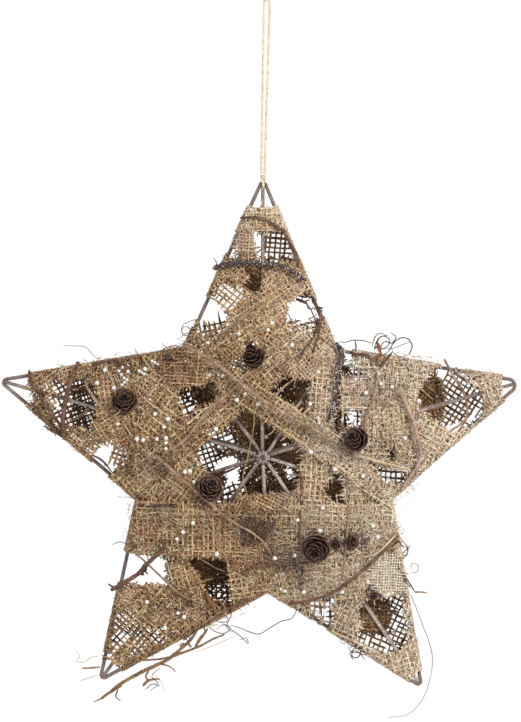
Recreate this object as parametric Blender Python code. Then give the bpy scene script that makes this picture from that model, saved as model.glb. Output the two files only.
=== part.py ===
"""Hanging star of bent wire wound with open jute strips, twigs and small cones."""
import math

import bmesh
import bpy
from mathutils import Vector

# Driving sizes of the star frame, in metres
TIP_REACH = 0.212
VALLEY_REACH = 0.101
HUB_RISE = 0.038
WIRE_RADIUS = 0.0015
HUB_RADIUS = 0.0055
HUB_HALF_HEIGHT = 0.0015
VALLEY_BEND = 0.004
SPOKE_END_GAP = 0.0072
TIP_BEND_ROOM = 1.5

# Each corner of the hand-bent outline: share of the reach, and bearing in degrees from the top
TIPS = ((1.01, 0.0), (0.985, 74.0), (1.02, 145.5), (1.01, 216.0), (1.00, 286.0))
VALLEYS = ((0.98, 34.0), (1.01, 108.5), (1.015, 178.0), (1.00, 251.0), (1.005, 323.5))
TIP_BENDS = (0.0022, 0.0050, 0.0022, 0.0022, 0.0028)

# Jute strips
CLOTH_THICKNESS = 0.0012
CLEARANCE = 0.0003
FRAME_CLEARANCE = 0.0005
RIDGE_TURN = 0.40
FOLD_DEPTH = 0.0020
RIM_SHARE = 0.945

# Hanging twine
TWINE_RADIUS = 0.0011
LOOP_HEIGHT = 0.137
LOOP_OPENING = 0.0020
LOOP_LEAN = 0.0031
LOOP_STATIONS = (0.0, 0.25, 0.55, 0.85, 0.96)
LOOP_FULL_STATION = 0.85
LOOP_CREST = (-60, -30, 0, 30, 60)
KNOT_RADIUS = 0.0024
KNOT_SINK = 0.0014
EYE_STEPS = 16

# Sides and spacing of the round pieces
WIRE_SIDES = 8
TWIG_SIDES = 6
CORD_SIDES = 8
HUB_SIDES = 12
CORNER_STEPS = 4
TWIG_STEP = 0.0075
BRANCH_STEP = 0.0112
CORD_STEP = 0.0055
ROUTE_FINENESS = 12
WOBBLE_TURN = 2.3

CLOTH_PITCH = CLOTH_THICKNESS + CLEARANCE
HUB_HEIGHT = -(LOOP_HEIGHT + TIP_REACH * TIPS[0][0])
HUB_SIDE = -LOOP_LEAN
SPAN = 2.0 * TIP_REACH

# Every strip: name, layer out from the frame, front outlines, back outlines.
# A corner is (station round the outline, share of the way from hub to outline);
# even stations are tips, odd ones valleys, counted clockwise from the top.
STRIPS = (
    ("jute_tip_scrap", 0, (((9.62, 1.08), (9.87, 0.90), (0.02, 0.70), (9.69, 0.86)),), ()),
    ("jute_tip_patch", 0, (), (((0.02, 0.88), (0.36, 1.10), (0.57, 1.06), (0.02, 0.71)),)),
    ("jute_tip_cross_low", 1,
     (((9.45, 1.08), (9.74, 0.84), (9.73, 0.72), (0.47, 0.68), (0.86, 0.99), (1.09, 0.89),
       (0.30, 0.42), (9.30, 1.05)),),
     (((9.49, 1.08), (9.35, 1.05), (0.73, 1.01), (0.53, 1.08)),)),
    ("jute_right_seam", 0,
     (((0.84, 0.84), (1.00, 1.05), (4.58, 0.89), (4.90, 1.05)),),
     (((0.42, 0.57), (1.03, 1.06), (4.37, 0.88), (4.75, 0.99)),)),
    ("jute_left_long", 1,
     (((8.56, 0.98), (8.91, 1.03), (6.49, 0.33), (6.84, 0.90)),),
     (((8.58, 0.97), (8.93, 1.06), (2.99, 1.08), (3.26, 1.03)),)),
    ("jute_lower_left_neck", 0,
     (((6.64, 0.75), (6.33, 0.49), (5.32, 1.02), (5.48, 1.03)),), ()),
    ("jute_right_arm_low", 0,
     (((1.85, 0.66), (2.33, 0.84), (2.40, 1.01), (2.87, 1.04), (2.96, 1.01)),),
     (((1.53, 0.86), (1.62, 1.12), (1.73, 1.12), (2.17, 0.98), (2.34, 0.95), (2.45, 0.74)),)),
    ("jute_lower_left_tip", 0,
     (((6.26, 1.05), (6.12, 1.04), (5.90, 1.04), (5.72, 1.08), (5.55, 1.06), (5.83, 0.85)),),
     ()),
    ("jute_lower_right_side", 1,
     (((4.38, 0.68), (3.27, 1.04), (4.00, 0.63), (4.46, 1.05), (4.62, 1.06)),),
     (((4.34, 0.72), (3.42, 1.12), (3.80, 1.11), (4.56, 1.21)),)),
    ("jute_left_tip_wrap", 0,
     (((8.18, 1.04), (8.37, 1.04), (7.56, 1.02), (7.62, 1.07), (7.81, 1.02)),),
     (((8.35, 1.05), (8.72, 1.05), (7.58, 0.77), (7.52, 1.05)),)),
    ("jute_tip_cross_high", 2,
     (((0.53, 1.05), (0.66, 1.03), (0.45, 0.77), (0.45, 0.68), (9.67, 0.51), (9.23, 0.63),
       (8.95, 0.90), (9.07, 1.03), (9.43, 0.76), (9.98, 0.61), (0.02, 0.70)),),
     (((8.94, 0.93), (9.11, 1.08), (0.85, 1.03), (0.97, 1.00)),)),
    ("jute_right_wide", 2,
     (((1.06, 1.07), (1.28, 1.05), (3.31, 1.03), (3.81, 0.55), (1.84, 0.33), (1.14, 0.77),
       (1.21, 0.81)),),
     (((1.06, 1.09), (1.48, 1.11), (2.79, 1.01), (3.01, 0.99), (3.11, 0.71)),)),
    ("jute_bottom_run", 3,
     (((3.20, 1.07), (3.48, 1.06), (5.00, 1.05), (5.24, 1.01), (5.37, 0.61)),),
     (((6.44, 0.59), (5.04, 0.65), (5.00, 1.05), (5.39, 1.01)),)),
    ("jute_lower_left_wrap", 1,
     (((6.57, 1.05), (5.86, 0.60), (5.17, 1.00), (5.43, 1.08), (6.34, 1.07)),),
     (((6.53, 1.07), (5.23, 0.82), (5.14, 1.03), (5.55, 1.13), (6.11, 1.05)),)),
    ("jute_lower_right_tip", 0,
     (((4.50, 1.05), (4.19, 0.93), (3.99, 0.85), (3.65, 1.07), (3.80, 1.08), (4.22, 1.11)),),
     ()),
    ("jute_left_edge", 2,
     (((8.38, 1.06), (8.70, 1.06), (8.34, 0.80), (8.33, 0.89), (8.17, 0.88)),), ()),
    ("jute_left_low_edge", 1,
     (((7.71, 0.99), (7.65, 0.71), (7.46, 0.87), (7.28, 1.05)),), ()),
    ("jute_right_tip_wrap", 1,
     (((1.59, 1.11), (1.74, 1.12), (2.15, 0.98), (2.39, 1.05), (2.14, 0.86)),),
     ()),
    ("jute_across_low", 4,
     (((7.03, 1.08), (2.98, 1.06), (3.28, 1.07), (4.77, 0.67), (5.03, 0.85), (5.27, 0.66),
       (5.56, 0.54), (6.12, 0.50), (6.74, 1.07)),),
     (((7.12, 0.98), (2.88, 0.99), (3.22, 1.08), (6.79, 1.10)),)),
    ("jute_right_arm_high", 3,
     (((1.22, 1.09), (1.50, 1.09), (1.80, 0.70), (2.87, 0.95), (3.02, 0.97)),), ()),
    ("jute_left_arm_wide", 3,
     (((8.60, 1.09), (8.81, 1.08), (7.10, 0.90), (7.50, 0.75), (7.55, 0.82)),), ()),
    ("jute_long_down", 5,
     (((8.80, 0.95), (9.06, 0.99), (2.82, 1.03), (3.15, 0.95)),), ()),
    ("jute_long_up", 2,
     (((0.53, 0.66), (0.93, 0.93), (7.03, 1.00), (7.22, 1.00)),),
     (((7.18, 1.02), (7.41, 0.75), (8.72, 0.75), (9.07, 0.66), (0.67, 0.56), (1.07, 0.91),
       (1.18, 0.84), (2.29, 0.40), (3.28, 0.28), (5.43, 0.27), (6.51, 0.35), (6.95, 1.06)),)),
    ("jute_tip_band", 1,
     (((9.64, 1.17), (0.35, 1.16), (0.44, 1.12), (9.56, 1.12)),),
     (((9.64, 1.17), (0.35, 1.16), (0.44, 1.12), (9.56, 1.12)),)),
)


def clear_scene():
    """Remove whatever the scene holds."""
    for old in list(bpy.data.objects):
        bpy.data.objects.remove(old, do_unlink=True)


def material(name, colour, roughness, metallic=0.0):
    """A named surface with its own colour."""
    surface = bpy.data.materials.new(name)
    surface.use_nodes = True
    shader = surface.node_tree.nodes["Principled BSDF"]
    shader.inputs["Base Color"].default_value = (*colour, 1.0)
    shader.inputs["Roughness"].default_value = roughness
    shader.inputs["Metallic"].default_value = metallic
    surface.diffuse_color = (*colour, 1.0)
    return surface


def place(name, mesh, surface, smooth=False):
    """Put a finished mesh in the scene under its own name."""
    for face in mesh.polygons:
        face.use_smooth = smooth
    made = bpy.data.objects.new(name, mesh)
    bpy.context.scene.collection.objects.link(made)
    mesh.materials.clear()
    mesh.materials.append(surface)
    return made


def polar(reach, bearing):
    """Point of the star's plane, right and up from the hub."""
    turn = math.radians(bearing)
    return Vector((reach * math.sin(turn), reach * math.cos(turn)))


def corners():
    """The ten corners of the outline, clockwise from the top tip."""
    found = []
    for tip, valley in zip(TIPS, VALLEYS):
        found.append(polar(TIP_REACH * tip[0], tip[1]))
        found.append(polar(VALLEY_REACH * valley[0], valley[1]))
    return found


CORNERS = corners()


def grown_corners(grow):
    """The outline's corners with every edge moved outward by the same distance."""
    moved = []
    for index, corner in enumerate(CORNERS):
        before = (corner - CORNERS[index - 1]).normalized()
        after = (CORNERS[(index + 1) % len(CORNERS)] - corner).normalized()
        out_before = Vector((-before.y, before.x))
        out_after = Vector((-after.y, after.x))
        middle = (out_before + out_after).normalized()
        moved.append(corner + middle * (grow / middle.dot(out_after)))
    return moved


def spot(station, share):
    """Point at a station of the outline, at a share of the way out from the hub."""
    first = int(math.floor(station))
    along = station - first
    start = CORNERS[first % len(CORNERS)]
    end = CORNERS[(first + 1) % len(CORNERS)]
    return (start + (end - start) * along) * share


def outward(station):
    """Direction straight out from the outline at a station."""
    first = int(math.floor(station)) % len(CORNERS)
    edge = (CORNERS[(first + 1) % len(CORNERS)] - CORNERS[first]).normalized()
    return Vector((-edge.y, edge.x))


def in_space(point, depth):
    """From the star's plane to the part's own frame; the front faces -Y."""
    return Vector((HUB_SIDE + point.x, -depth, HUB_HEIGHT + point.y))


def ridge_point(index):
    """Where the skin turns from the arm to the middle, on one ridge."""
    return CORNERS[2 * index] * RIDGE_TURN


def ridge_height():
    """Height of the frame's ridges at that turn."""
    return HUB_RISE * (1.0 - RIDGE_TURN)


def bridge_share(index):
    """Share of a valley's ray at which the skin bridges from ridge to ridge."""
    valley = CORNERS[2 * index + 1]
    start = ridge_point(index)
    chord = ridge_point((index + 1) % len(TIPS)) - start
    return (start.x * chord.y - start.y * chord.x) / (valley.x * chord.y - valley.y * chord.x)


def skin_facets(offset):
    """The flat facets of one side of a skin, as trios of points with their heights."""
    rim = grown_corners(offset)
    middle = (Vector((0.0, 0.0)), HUB_RISE + offset)
    found = []
    for index in range(len(CORNERS)):
        following = (index + 1) % len(CORNERS)
        tip, valley = (index, following) if index % 2 == 0 else (following, index)
        ridge = (ridge_point(tip // 2), ridge_height() + offset)
        bridge = (CORNERS[valley] * bridge_share(valley // 2), ridge_height() + offset)
        low = (rim[valley], offset)
        found.append((middle, ridge, bridge))
        found.append((bridge, ridge, low))
        found.append((ridge, (rim[tip], offset), low))
    return found


def skin_height(point, facets, offset):
    """Height of a skin over the star's middle plane."""
    for (first, low), (second, side), (third, end) in facets:
        area = (second - first).cross(third - first)
        by_second = (point - first).cross(third - first) / area
        by_third = (second - first).cross(point - first) / area
        if by_second > -1e-6 and by_third > -1e-6 and by_second + by_third < 1.0 + 1e-6:
            return low + (side - low) * by_second + (end - low) * by_third
    return offset


def layer_offset(layer):
    """Distance of a layer's inner face from the frame's centre lines."""
    return WIRE_RADIUS + FRAME_CLEARANCE + layer * CLOTH_PITCH


def skin_shell(mesh, offset, inward):
    """Add one closed skin round the whole star, at an offset from the frame."""
    rim = grown_corners(offset)
    sides = []
    for facing in (1.0, -1.0):
        lift = [facing * (height + offset) for height in (HUB_RISE, ridge_height(), 0.0)]
        hub = mesh.verts.new(in_space(Vector((0.0, 0.0)), lift[0]))
        ridges = [mesh.verts.new(in_space(ridge_point(i), lift[1])) for i in range(len(TIPS))]
        bridges = [mesh.verts.new(in_space(CORNERS[2 * i + 1] * bridge_share(i), lift[1]))
                   for i in range(len(TIPS))]
        edge = [mesh.verts.new(in_space(corner, lift[2])) for corner in rim]
        sides.append(edge)
        for index in range(len(CORNERS)):
            following = (index + 1) % len(CORNERS)
            tip, valley = (index, following) if index % 2 == 0 else (following, index)
            ridge, bridge = ridges[tip // 2], bridges[valley // 2]
            for trio in ((hub, ridge, bridge), (bridge, ridge, edge[valley]),
                         (ridge, edge[tip], edge[valley])):
                turned = (index % 2 == 0) != (facing < 0.0)
                order = trio if turned != inward else tuple(reversed(trio))
                mesh.faces.new(order)
    for index in range(len(CORNERS)):
        following = (index + 1) % len(CORNERS)
        wall = (sides[0][index], sides[1][index], sides[1][following], sides[0][following])
        mesh.faces.new(tuple(reversed(wall)) if inward else wall)


def cloth_shell(layer):
    """The thin closed shell that every strip of one layer is cut from."""
    mesh = bmesh.new()
    skin_shell(mesh, layer_offset(layer) + CLOTH_THICKNESS, False)
    skin_shell(mesh, layer_offset(layer), True)
    shell = bpy.data.meshes.new("cloth_shell")
    mesh.to_mesh(shell)
    mesh.free()
    return shell


def block_corner(station, share, reach):
    """A block's corner: one at the rim stands clear of the strip's own fold."""
    corner = spot(station, share)
    if share < RIM_SHARE:
        return corner
    away = (corner - spot(station, 1.0)).dot(outward(station))
    return corner + outward(station) * (reach - away)


def add_prism(mesh, outline, reach, low, high):
    """Add a straight block through the star with the given outline."""
    ring = [mesh.verts.new(in_space(block_corner(*corner, reach), low)) for corner in outline]
    base = mesh.faces.new(ring)
    grown = bmesh.ops.extrude_face_region(mesh, geom=[base])
    moved = [item for item in grown["geom"] if isinstance(item, bmesh.types.BMVert)]
    bmesh.ops.translate(mesh, vec=Vector((0.0, low - high, 0.0)), verts=moved)


def strip_block(blocks):
    """One cutting body made of the blocks of a strip's passes."""
    mesh = bmesh.new()
    for block in blocks:
        add_prism(mesh, *block)
    mesh.normal_update()
    bmesh.ops.recalc_face_normals(mesh, faces=mesh.faces[:])
    body = bpy.data.meshes.new("strip_block")
    mesh.to_mesh(body)
    mesh.free()
    helper = bpy.data.objects.new("strip_block", body)
    bpy.context.scene.collection.objects.link(helper)
    return helper


def combine(base, cutter, operation):
    """Apply one exact Boolean and return the resulting mesh."""
    cutter.hide_render = True
    cutter.display_type = "WIRE"
    step = base.modifiers.new(operation.lower(), "BOOLEAN")
    step.operation = operation
    step.solver = "EXACT"
    step.use_self = True
    step.object = cutter
    bpy.context.view_layer.update()
    graph = bpy.context.evaluated_depsgraph_get()
    result = bpy.data.meshes.new_from_object(base.evaluated_get(graph))
    bpy.data.objects.remove(base, do_unlink=True)
    bpy.data.objects.remove(cutter, do_unlink=True)
    return result


def joined(pieces):
    """One body from several overlapping helper objects."""
    whole = pieces[0]
    for extra in pieces[1:]:
        mesh = combine(whole, extra, "UNION")
        whole = bpy.data.objects.new("joined", mesh)
        bpy.context.scene.collection.objects.link(whole)
    return whole


def drop_offcuts(mesh):
    """Keep the strip itself and drop the scraps that its block cuts beyond a valley."""
    work = bmesh.new()
    work.from_mesh(mesh)
    left = set(work.verts)
    bodies = []
    while left:
        body = [left.pop()]
        for vert in body:
            for edge in vert.link_edges:
                other = edge.other_vert(vert)
                if other in left:
                    left.remove(other)
                    body.append(other)
        bodies.append(body)
    bodies.sort(key=lambda body: sum(sum(face.calc_area() for face in vert.link_faces)
                                     for vert in body))
    for body in bodies[:-1]:
        bmesh.ops.delete(work, geom=body, context="VERTS")
    work.to_mesh(mesh)
    work.free()


def jute_strip(name, layer, fronts, backs, surface):
    """Cut one strip out of its layer's shell, folded round the outline wire."""
    reach = rim_reach(layer)
    fold = reach + FOLD_DEPTH
    blocks = [(outline, reach, -fold, SPAN) for outline in fronts]
    blocks += [(outline, reach, -SPAN, fold) for outline in backs]
    cutter = strip_block(blocks)
    shell = bpy.data.objects.new("shell", cloth_shell(layer))
    bpy.context.scene.collection.objects.link(shell)
    mesh = combine(shell, cutter, "INTERSECT")
    mesh.name = name
    drop_offcuts(mesh)
    return place(name, mesh, surface)


def rim_reach(layer):
    """How far outside the outline a layer's blocks have to stand."""
    return layer_offset(layer) + CLOTH_THICKNESS + FRAME_CLEARANCE


def inside(point, ring):
    """Whether a point of the star's plane lies inside a ring of points."""
    hit = False
    for index, end in enumerate(ring):
        start = ring[index - 1]
        if (start.y > point.y) != (end.y > point.y):
            across = start.x + (point.y - start.y) * (end.x - start.x) / (end.y - start.y)
            if point.x < across:
                hit = not hit
    return hit


def front_covers():
    """For every layer: its facets, its outer offset and the rings of its front outlines."""
    found = []
    for layer in sorted({strip[1] for strip in STRIPS}):
        offset = layer_offset(layer) + CLOTH_THICKNESS
        rings = [[block_corner(*corner, rim_reach(layer)) for corner in outline]
                 for _, level, fronts, _ in STRIPS if level == layer for outline in fronts]
        found.append((skin_facets(offset), offset, rings))
    return found


FRONT_COVERS = []


def cloth_top(point, reach):
    """Height of the outermost front strip at a point and close around it."""
    if not FRONT_COVERS:
        FRONT_COVERS.extend(front_covers())
    around = [point + polar(reach, bearing) for bearing in range(0, 360, 45)] + [point]
    bare = WIRE_RADIUS + CLEARANCE
    bare_facets = skin_facets(bare)
    top = max(skin_height(near, bare_facets, bare) for near in around)
    for facets, offset, rings in FRONT_COVERS:
        for ring in rings:
            if any(inside(near, ring) for near in around):
                top = max(top, max(skin_height(near, facets, offset) for near in around))
    return top


def smooth_route(route, step):
    """Evenly spaced points on a smooth curve through the route's own points."""
    padded = [route[0] * 2 - route[1]] + list(route) + [route[-1] * 2 - route[-2]]
    fine = []
    for index in range(1, len(padded) - 2):
        a, b, c, d = padded[index - 1:index + 3]
        for part in range(ROUTE_FINENESS):
            t = part / ROUTE_FINENESS
            fine.append(0.5 * (2 * b + (c - a) * t + (2 * a - 5 * b + 4 * c - d) * t * t
                               + (3 * b - a - 3 * c + d) * t * t * t))
    fine.append(padded[-2])
    lengths = [0.0]
    for start, end in zip(fine, fine[1:]):
        lengths.append(lengths[-1] + (end - start).length)
    count = max(2, round(lengths[-1] / step))
    points = []
    at = 0
    for number in range(count + 1):
        goal = lengths[-1] * number / count
        while at < len(fine) - 2 and lengths[at + 1] < goal:
            at += 1
        part = (goal - lengths[at]) / max(lengths[at + 1] - lengths[at], 1e-9)
        points.append(fine[at].lerp(fine[at + 1], min(1.0, part)))
    return points


def tube(name, points, radii, surface, sides, cyclic=False):
    """A round rod along points, as a bevelled curve with filled ends."""
    curve = bpy.data.curves.new(name, "CURVE")
    curve.dimensions = "3D"
    curve.bevel_depth = 1.0
    curve.bevel_resolution = sides // 2 - 2
    curve.use_fill_caps = not cyclic
    line = curve.splines.new("POLY")
    line.points.add(len(points) - 1)
    for node, point, radius in zip(line.points, points, radii):
        node.co = (*point, 1.0)
        node.radius = radius
    line.use_cyclic_u = cyclic
    line.use_smooth = True
    curve.materials.append(surface)
    made = bpy.data.objects.new(name, curve)
    bpy.context.scene.collection.objects.link(made)
    return made


def rod_mesh(mesh, start, end, radius, sides):
    """Add one straight capped rod to a mesh."""
    axis = end - start
    turn = axis.to_track_quat("Z", "Y").to_matrix().to_4x4()
    turn.translation = (start + end) / 2
    bmesh.ops.create_cone(mesh, cap_ends=True, segments=sides, radius1=radius, radius2=radius,
                          depth=axis.length, matrix=turn)


def outline_wire(surface):
    """The bent wire outline, with a small bend at every corner."""
    points = []
    for index, corner in enumerate(CORNERS):
        before = (CORNERS[index - 1] - corner).normalized()
        after = (CORNERS[(index + 1) % len(CORNERS)] - corner).normalized()
        bend = TIP_BENDS[index // 2] if index % 2 == 0 else VALLEY_BEND
        half = before.angle(after) / 2
        middle = (before + after).normalized()
        centre = corner + middle * (bend / math.sin(half))
        start = corner + before * (bend / math.tan(half)) - centre
        sweep = (math.pi - 2 * half) * (-1 if before.cross(after) > 0 else 1)
        for step in range(CORNER_STEPS + 1):
            turn = sweep * step / CORNER_STEPS
            spun = Vector((start.x * math.cos(turn) - start.y * math.sin(turn),
                           start.x * math.sin(turn) + start.y * math.cos(turn)))
            points.append(in_space(centre + spun, 0.0))
    radii = [WIRE_RADIUS] * len(points)
    return tube("outline_wire", points, radii, surface, WIRE_SIDES, cyclic=True)


def spoke(name, facing, corner_index, surface):
    """One straight wire from a hub to a corner of the outline."""
    corner = CORNERS[corner_index]
    start = in_space(Vector((0.0, 0.0)), facing * HUB_RISE)
    end = in_space(corner, 0.0)
    along = (end - start).normalized()
    if corner_index % 2 == 0:
        gap = SPOKE_END_GAP + TIP_BENDS[corner_index // 2] * TIP_BEND_ROOM
    else:
        gap = WIRE_RADIUS + CLEARANCE + FRAME_CLEARANCE
    mesh = bmesh.new()
    rod_mesh(mesh, start + along * (HUB_RADIUS + FRAME_CLEARANCE), end - along * gap,
             WIRE_RADIUS, WIRE_SIDES)
    rod = bpy.data.meshes.new(name)
    mesh.to_mesh(rod)
    mesh.free()
    return place(name, rod, surface, smooth=True)


def hub(name, facing, surface):
    """The flat bead of weld where the spokes meet."""
    mesh = bmesh.new()
    bmesh.ops.create_uvsphere(mesh, u_segments=HUB_SIDES, v_segments=HUB_SIDES // 2, radius=1.0)
    centre = in_space(Vector((0.0, 0.0)), facing * HUB_RISE)
    for vert in mesh.verts:
        vert.co = centre + Vector((vert.co.x * HUB_RADIUS, vert.co.z * HUB_HALF_HEIGHT,
                                   vert.co.y * HUB_RADIUS))
    mesh.normal_update()
    bmesh.ops.recalc_face_normals(mesh, faces=mesh.faces[:])
    bead = bpy.data.meshes.new(name)
    mesh.to_mesh(bead)
    mesh.free()
    return place(name, bead, surface, smooth=True)


def laid_route(route, radius, level):
    """Points along a twig that lies on the strips, one level above another."""
    flat = smooth_route([spot(station, share) for station, share in route], TWIG_STEP)
    reach = radius + CLEARANCE
    tops = [cloth_top(point, reach) for point in flat]
    halfway = [cloth_top((start + end) / 2, reach) for start, end in zip(flat, flat[1:])]
    raised = []
    for index, point in enumerate(flat):
        before = max(0, index - 1)
        near = tops[before:index + 2] + halfway[before:index + 1]
        raised.append(in_space(point, max(near) + reach + level))
    return raised


def taper(count, first, middle, last, wobble):
    """Radii along a twig, with a gentle unevenness."""
    radii = []
    for index in range(count):
        share = index / max(1, count - 1)
        ends = first + (last - first) * share
        bulge = (middle - (first + last) / 2) * 4 * share * (1 - share)
        radii.append((ends + bulge) * (1.0 + wobble * math.sin(index * WOBBLE_TURN)))
    return radii


TWIG_LEVEL = 0.0042

# Every twig: name, route of outline stations and shares, level, radii, unevenness, colour
TWIGS = (
    ("knobbly_vine_top", ((9.40, 1.07), (9.58, 0.94), (9.98, 0.70), (0.34, 0.86), (0.60, 1.00)),
     0, (0.0019, 0.0018, 0.0014), 0.22, "dark"),
    ("knobbly_vine_right", ((0.98, 1.03), (1.05, 0.97), (1.13, 0.77), (1.27, 0.58), (1.49, 0.40)),
     0, (0.0019, 0.0016, 0.0010), 0.22, "dark"),
    ("long_twig", ((9.01, 1.03), (9.14, 0.73), (9.51, 0.34), (0.84, 0.33), (2.14, 0.29)),
     1, (0.0014, 0.0020, 0.0013), 0.08, "tan"),
    ("left_twig", ((7.42, 0.54), (7.76, 0.34), (8.78, 0.46), (9.18, 0.48), (9.61, 0.40)),
     0, (0.0012, 0.0016, 0.0011), 0.08, "tan"),
    ("right_vine", ((1.54, 0.77), (1.98, 0.57), (2.48, 0.79), (2.69, 0.93), (2.90, 1.00)),
     0, (0.0013, 0.0016, 0.0012), 0.05, "tan"),
    ("lower_twig", ((7.39, 0.60), (6.82, 0.48), (5.60, 0.33), (5.09, 0.55), (4.95, 0.69)),
     0, (0.0015, 0.0012, 0.0009), 0.08, "tan"),
    ("lower_right_vine", ((4.87, 1.01), (4.47, 0.74), (3.57, 0.72), (3.18, 1.03)),
     0, (0.0014, 0.0016, 0.0011), 0.10, "tan"),
    ("flat_left_twig", ((8.48, 1.05), (8.13, 0.81), (7.73, 0.88), (7.50, 1.02)),
     0, (0.0017, 0.0019, 0.0015), 0.06, "red"),
    ("lower_left_twig", ((6.51, 0.68), (6.51, 0.79), (6.49, 0.85), (6.52, 0.96), (6.55, 1.07)),
     0, (0.0017, 0.0019, 0.0016), 0.10, "red"),
)

TENDRIL_RADIUS = 0.0006
TENDRIL = ((3.48, 1.04), (3.57, 1.09), (3.72, 1.13), (4.00, 1.02), (4.28, 1.26), (4.46, 1.40))
TENDRIL_LIFT = 0.0065

BRANCH_LIFT = 0.013
BRANCHES = (
    (((5.85, 1.13), (5.69, 1.11), (5.53, 1.12), (5.43, 1.08), (5.41, 1.02)), 0.0016, 0.0013),
    (((5.53, 1.12), (5.37, 1.16), (5.22, 1.17)), 0.0012, 0.0008),
    (((5.88, 1.15), (5.78, 1.13), (5.68, 1.12)), 0.0011, 0.0009),
)


def twigs(surfaces):
    """Every twig and vine that lies on the front of the star."""
    for name, route, level, sizes, wobble, colour in TWIGS:
        points = laid_route(route, max(sizes), level * TWIG_LEVEL)
        tube(name, points, taper(len(points), *sizes, wobble), surfaces[colour], TWIG_SIDES)


def branching_twig(surface):
    """The forked twig that sticks out below the lower left arm."""
    limbs = []
    for number, (route, first, last) in enumerate(BRANCHES):
        flat = smooth_route([spot(*at) for at in route], BRANCH_STEP)
        points = [in_space(point, BRANCH_LIFT) for point in flat]
        radii = [first + (last - first) * index / (len(points) - 1) for index in range(len(points))]
        limb = tube("limb", points, radii, surface, TWIG_SIDES)
        graph = bpy.context.evaluated_depsgraph_get()
        mesh = bpy.data.meshes.new_from_object(limb.evaluated_get(graph))
        bpy.data.objects.remove(limb, do_unlink=True)
        body = bpy.data.objects.new("limb", mesh)
        bpy.context.scene.collection.objects.link(body)
        limbs.append(body)
    whole = joined(limbs)
    mesh = whole.data
    bpy.data.objects.remove(whole, do_unlink=True)
    mesh.name = "branching_twig"
    return place("branching_twig", mesh, surface, smooth=True)


def tendril(surface):
    """The long thin tendril that trails from the lower right arm."""
    flat = smooth_route([spot(*at) for at in TENDRIL], TWIG_STEP)
    lift = layer_offset(1) + TENDRIL_LIFT
    points = [in_space(point, lift) for point in flat]
    return tube("trailing_tendril", points, [TENDRIL_RADIUS] * len(points), surface, TWIG_SIDES)


# Every cone: name, station, share, radius, length, lean in degrees towards a bearing
CONES = (
    ("cone_left", 8.32, 0.67, 0.0100, 0.0150, 12.0, 0.0),
    ("cone_upper", 9.69, 0.46, 0.0083, 0.0220, 35.0, 340.0),
    ("cone_lower_left", 6.85, 0.39, 0.0100, 0.0150, 25.0, 30.0),
    ("cone_right", 2.20, 0.38, 0.0098, 0.0160, 25.0, 300.0),
    ("cone_lower_right", 4.31, 0.46, 0.0112, 0.0170, 20.0, 200.0),
)
SCALE_ROWS = 6
SCALES_ROUND = 8

# How far round each point of a cone the strips are felt for
CONE_FOOT = 0.0016

# A cone's shape as shares of its own radius and of the height of one row of scales
CONE_NARROWING = 0.62
CONE_BASE = 0.80
CONE_SWELL = 0.30
CONE_SWELL_TURN = 1.6
SCALE_ROOT = 0.62
SCALE_VALLEY = 0.72
ROOT_HEIGHT = 0.10
TIP_HEIGHT = 0.72


def cone_girth(radius, at):
    """Radius of a cone at a share of its length."""
    swell = math.sin(math.pi * min(1.0, at * CONE_SWELL_TURN))
    return radius * (1.0 - CONE_NARROWING * at * at) * (CONE_BASE + CONE_SWELL * swell)


def lay_down(mesh, centre):
    """Lower a cone onto the strips until its nearest point stands just clear of them."""
    lowest = None
    for vert in mesh.verts:
        below = centre + Vector((vert.co.x, vert.co.z))
        room = -vert.co.y - cloth_top(below, CONE_FOOT)
        lowest = room if lowest is None else min(lowest, room)
    shift = in_space(centre, CLEARANCE - lowest)
    bmesh.ops.translate(mesh, vec=shift, verts=mesh.verts[:])


def cone(name, station, share, radius, length, lean, bearing, surface):
    """A small open cone: rows of blunt scales set in turn round a core."""
    mesh = bmesh.new()
    rings = []
    around = SCALES_ROUND * 2
    for row in range(SCALE_ROWS):
        girth = cone_girth(radius, (row + 0.5) / SCALE_ROWS)
        for inner in (True, False):
            height = length * (row + (ROOT_HEIGHT if inner else TIP_HEIGHT)) / SCALE_ROWS
            ring = []
            for number in range(around):
                turn = 2 * math.pi * (number + row) / around
                swell = SCALE_ROOT if inner else (1.0 if number % 2 == 0 else SCALE_VALLEY)
                ring.append(mesh.verts.new((girth * swell * math.cos(turn),
                                            girth * swell * math.sin(turn), height)))
            rings.append(ring)
    for number, ring in enumerate(rings):
        row = number // 2
        rings[number] = ring[-row % around:] + ring[:-row % around] if row else ring
    for lower, upper in zip(rings, rings[1:]):
        for number in range(around):
            after = (number + 1) % around
            mesh.faces.new((lower[number], lower[after], upper[after], upper[number]))
    mesh.faces.new(tuple(reversed(rings[0])))
    mesh.faces.new(rings[-1])
    bmesh.ops.triangulate(mesh, faces=mesh.faces[:])
    mesh.normal_update()
    bmesh.ops.recalc_face_normals(mesh, faces=mesh.faces[:])
    centre = spot(station, share)
    axis = Vector((0.0, -1.0, 0.0))
    side = Vector((math.sin(math.radians(bearing)), 0.0, math.cos(math.radians(bearing))))
    leaning = axis * math.cos(math.radians(lean)) + side * math.sin(math.radians(lean))
    turn = leaning.to_track_quat("Z", "Y").to_matrix()
    for vert in mesh.verts:
        vert.co = turn @ (vert.co - Vector((0.0, 0.0, length / 2)))
    lay_down(mesh, centre)
    body = bpy.data.meshes.new(name)
    mesh.to_mesh(body)
    mesh.free()
    return place(name, body, surface)


def tie_centre():
    """Middle of the twine eye that goes round the wire at the top tip."""
    bend = TIP_BENDS[0]
    edge = (CORNERS[1] - CORNERS[0]).normalized()
    half = (-CORNERS[0]).angle(edge)
    apex = bend / math.sin(half) - bend
    inside_eye = (WIRE_RADIUS + TWINE_RADIUS + CLEARANCE) / math.sin(half)
    above = apex - WIRE_RADIUS - CLEARANCE - TWINE_RADIUS
    return above, inside_eye


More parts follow.
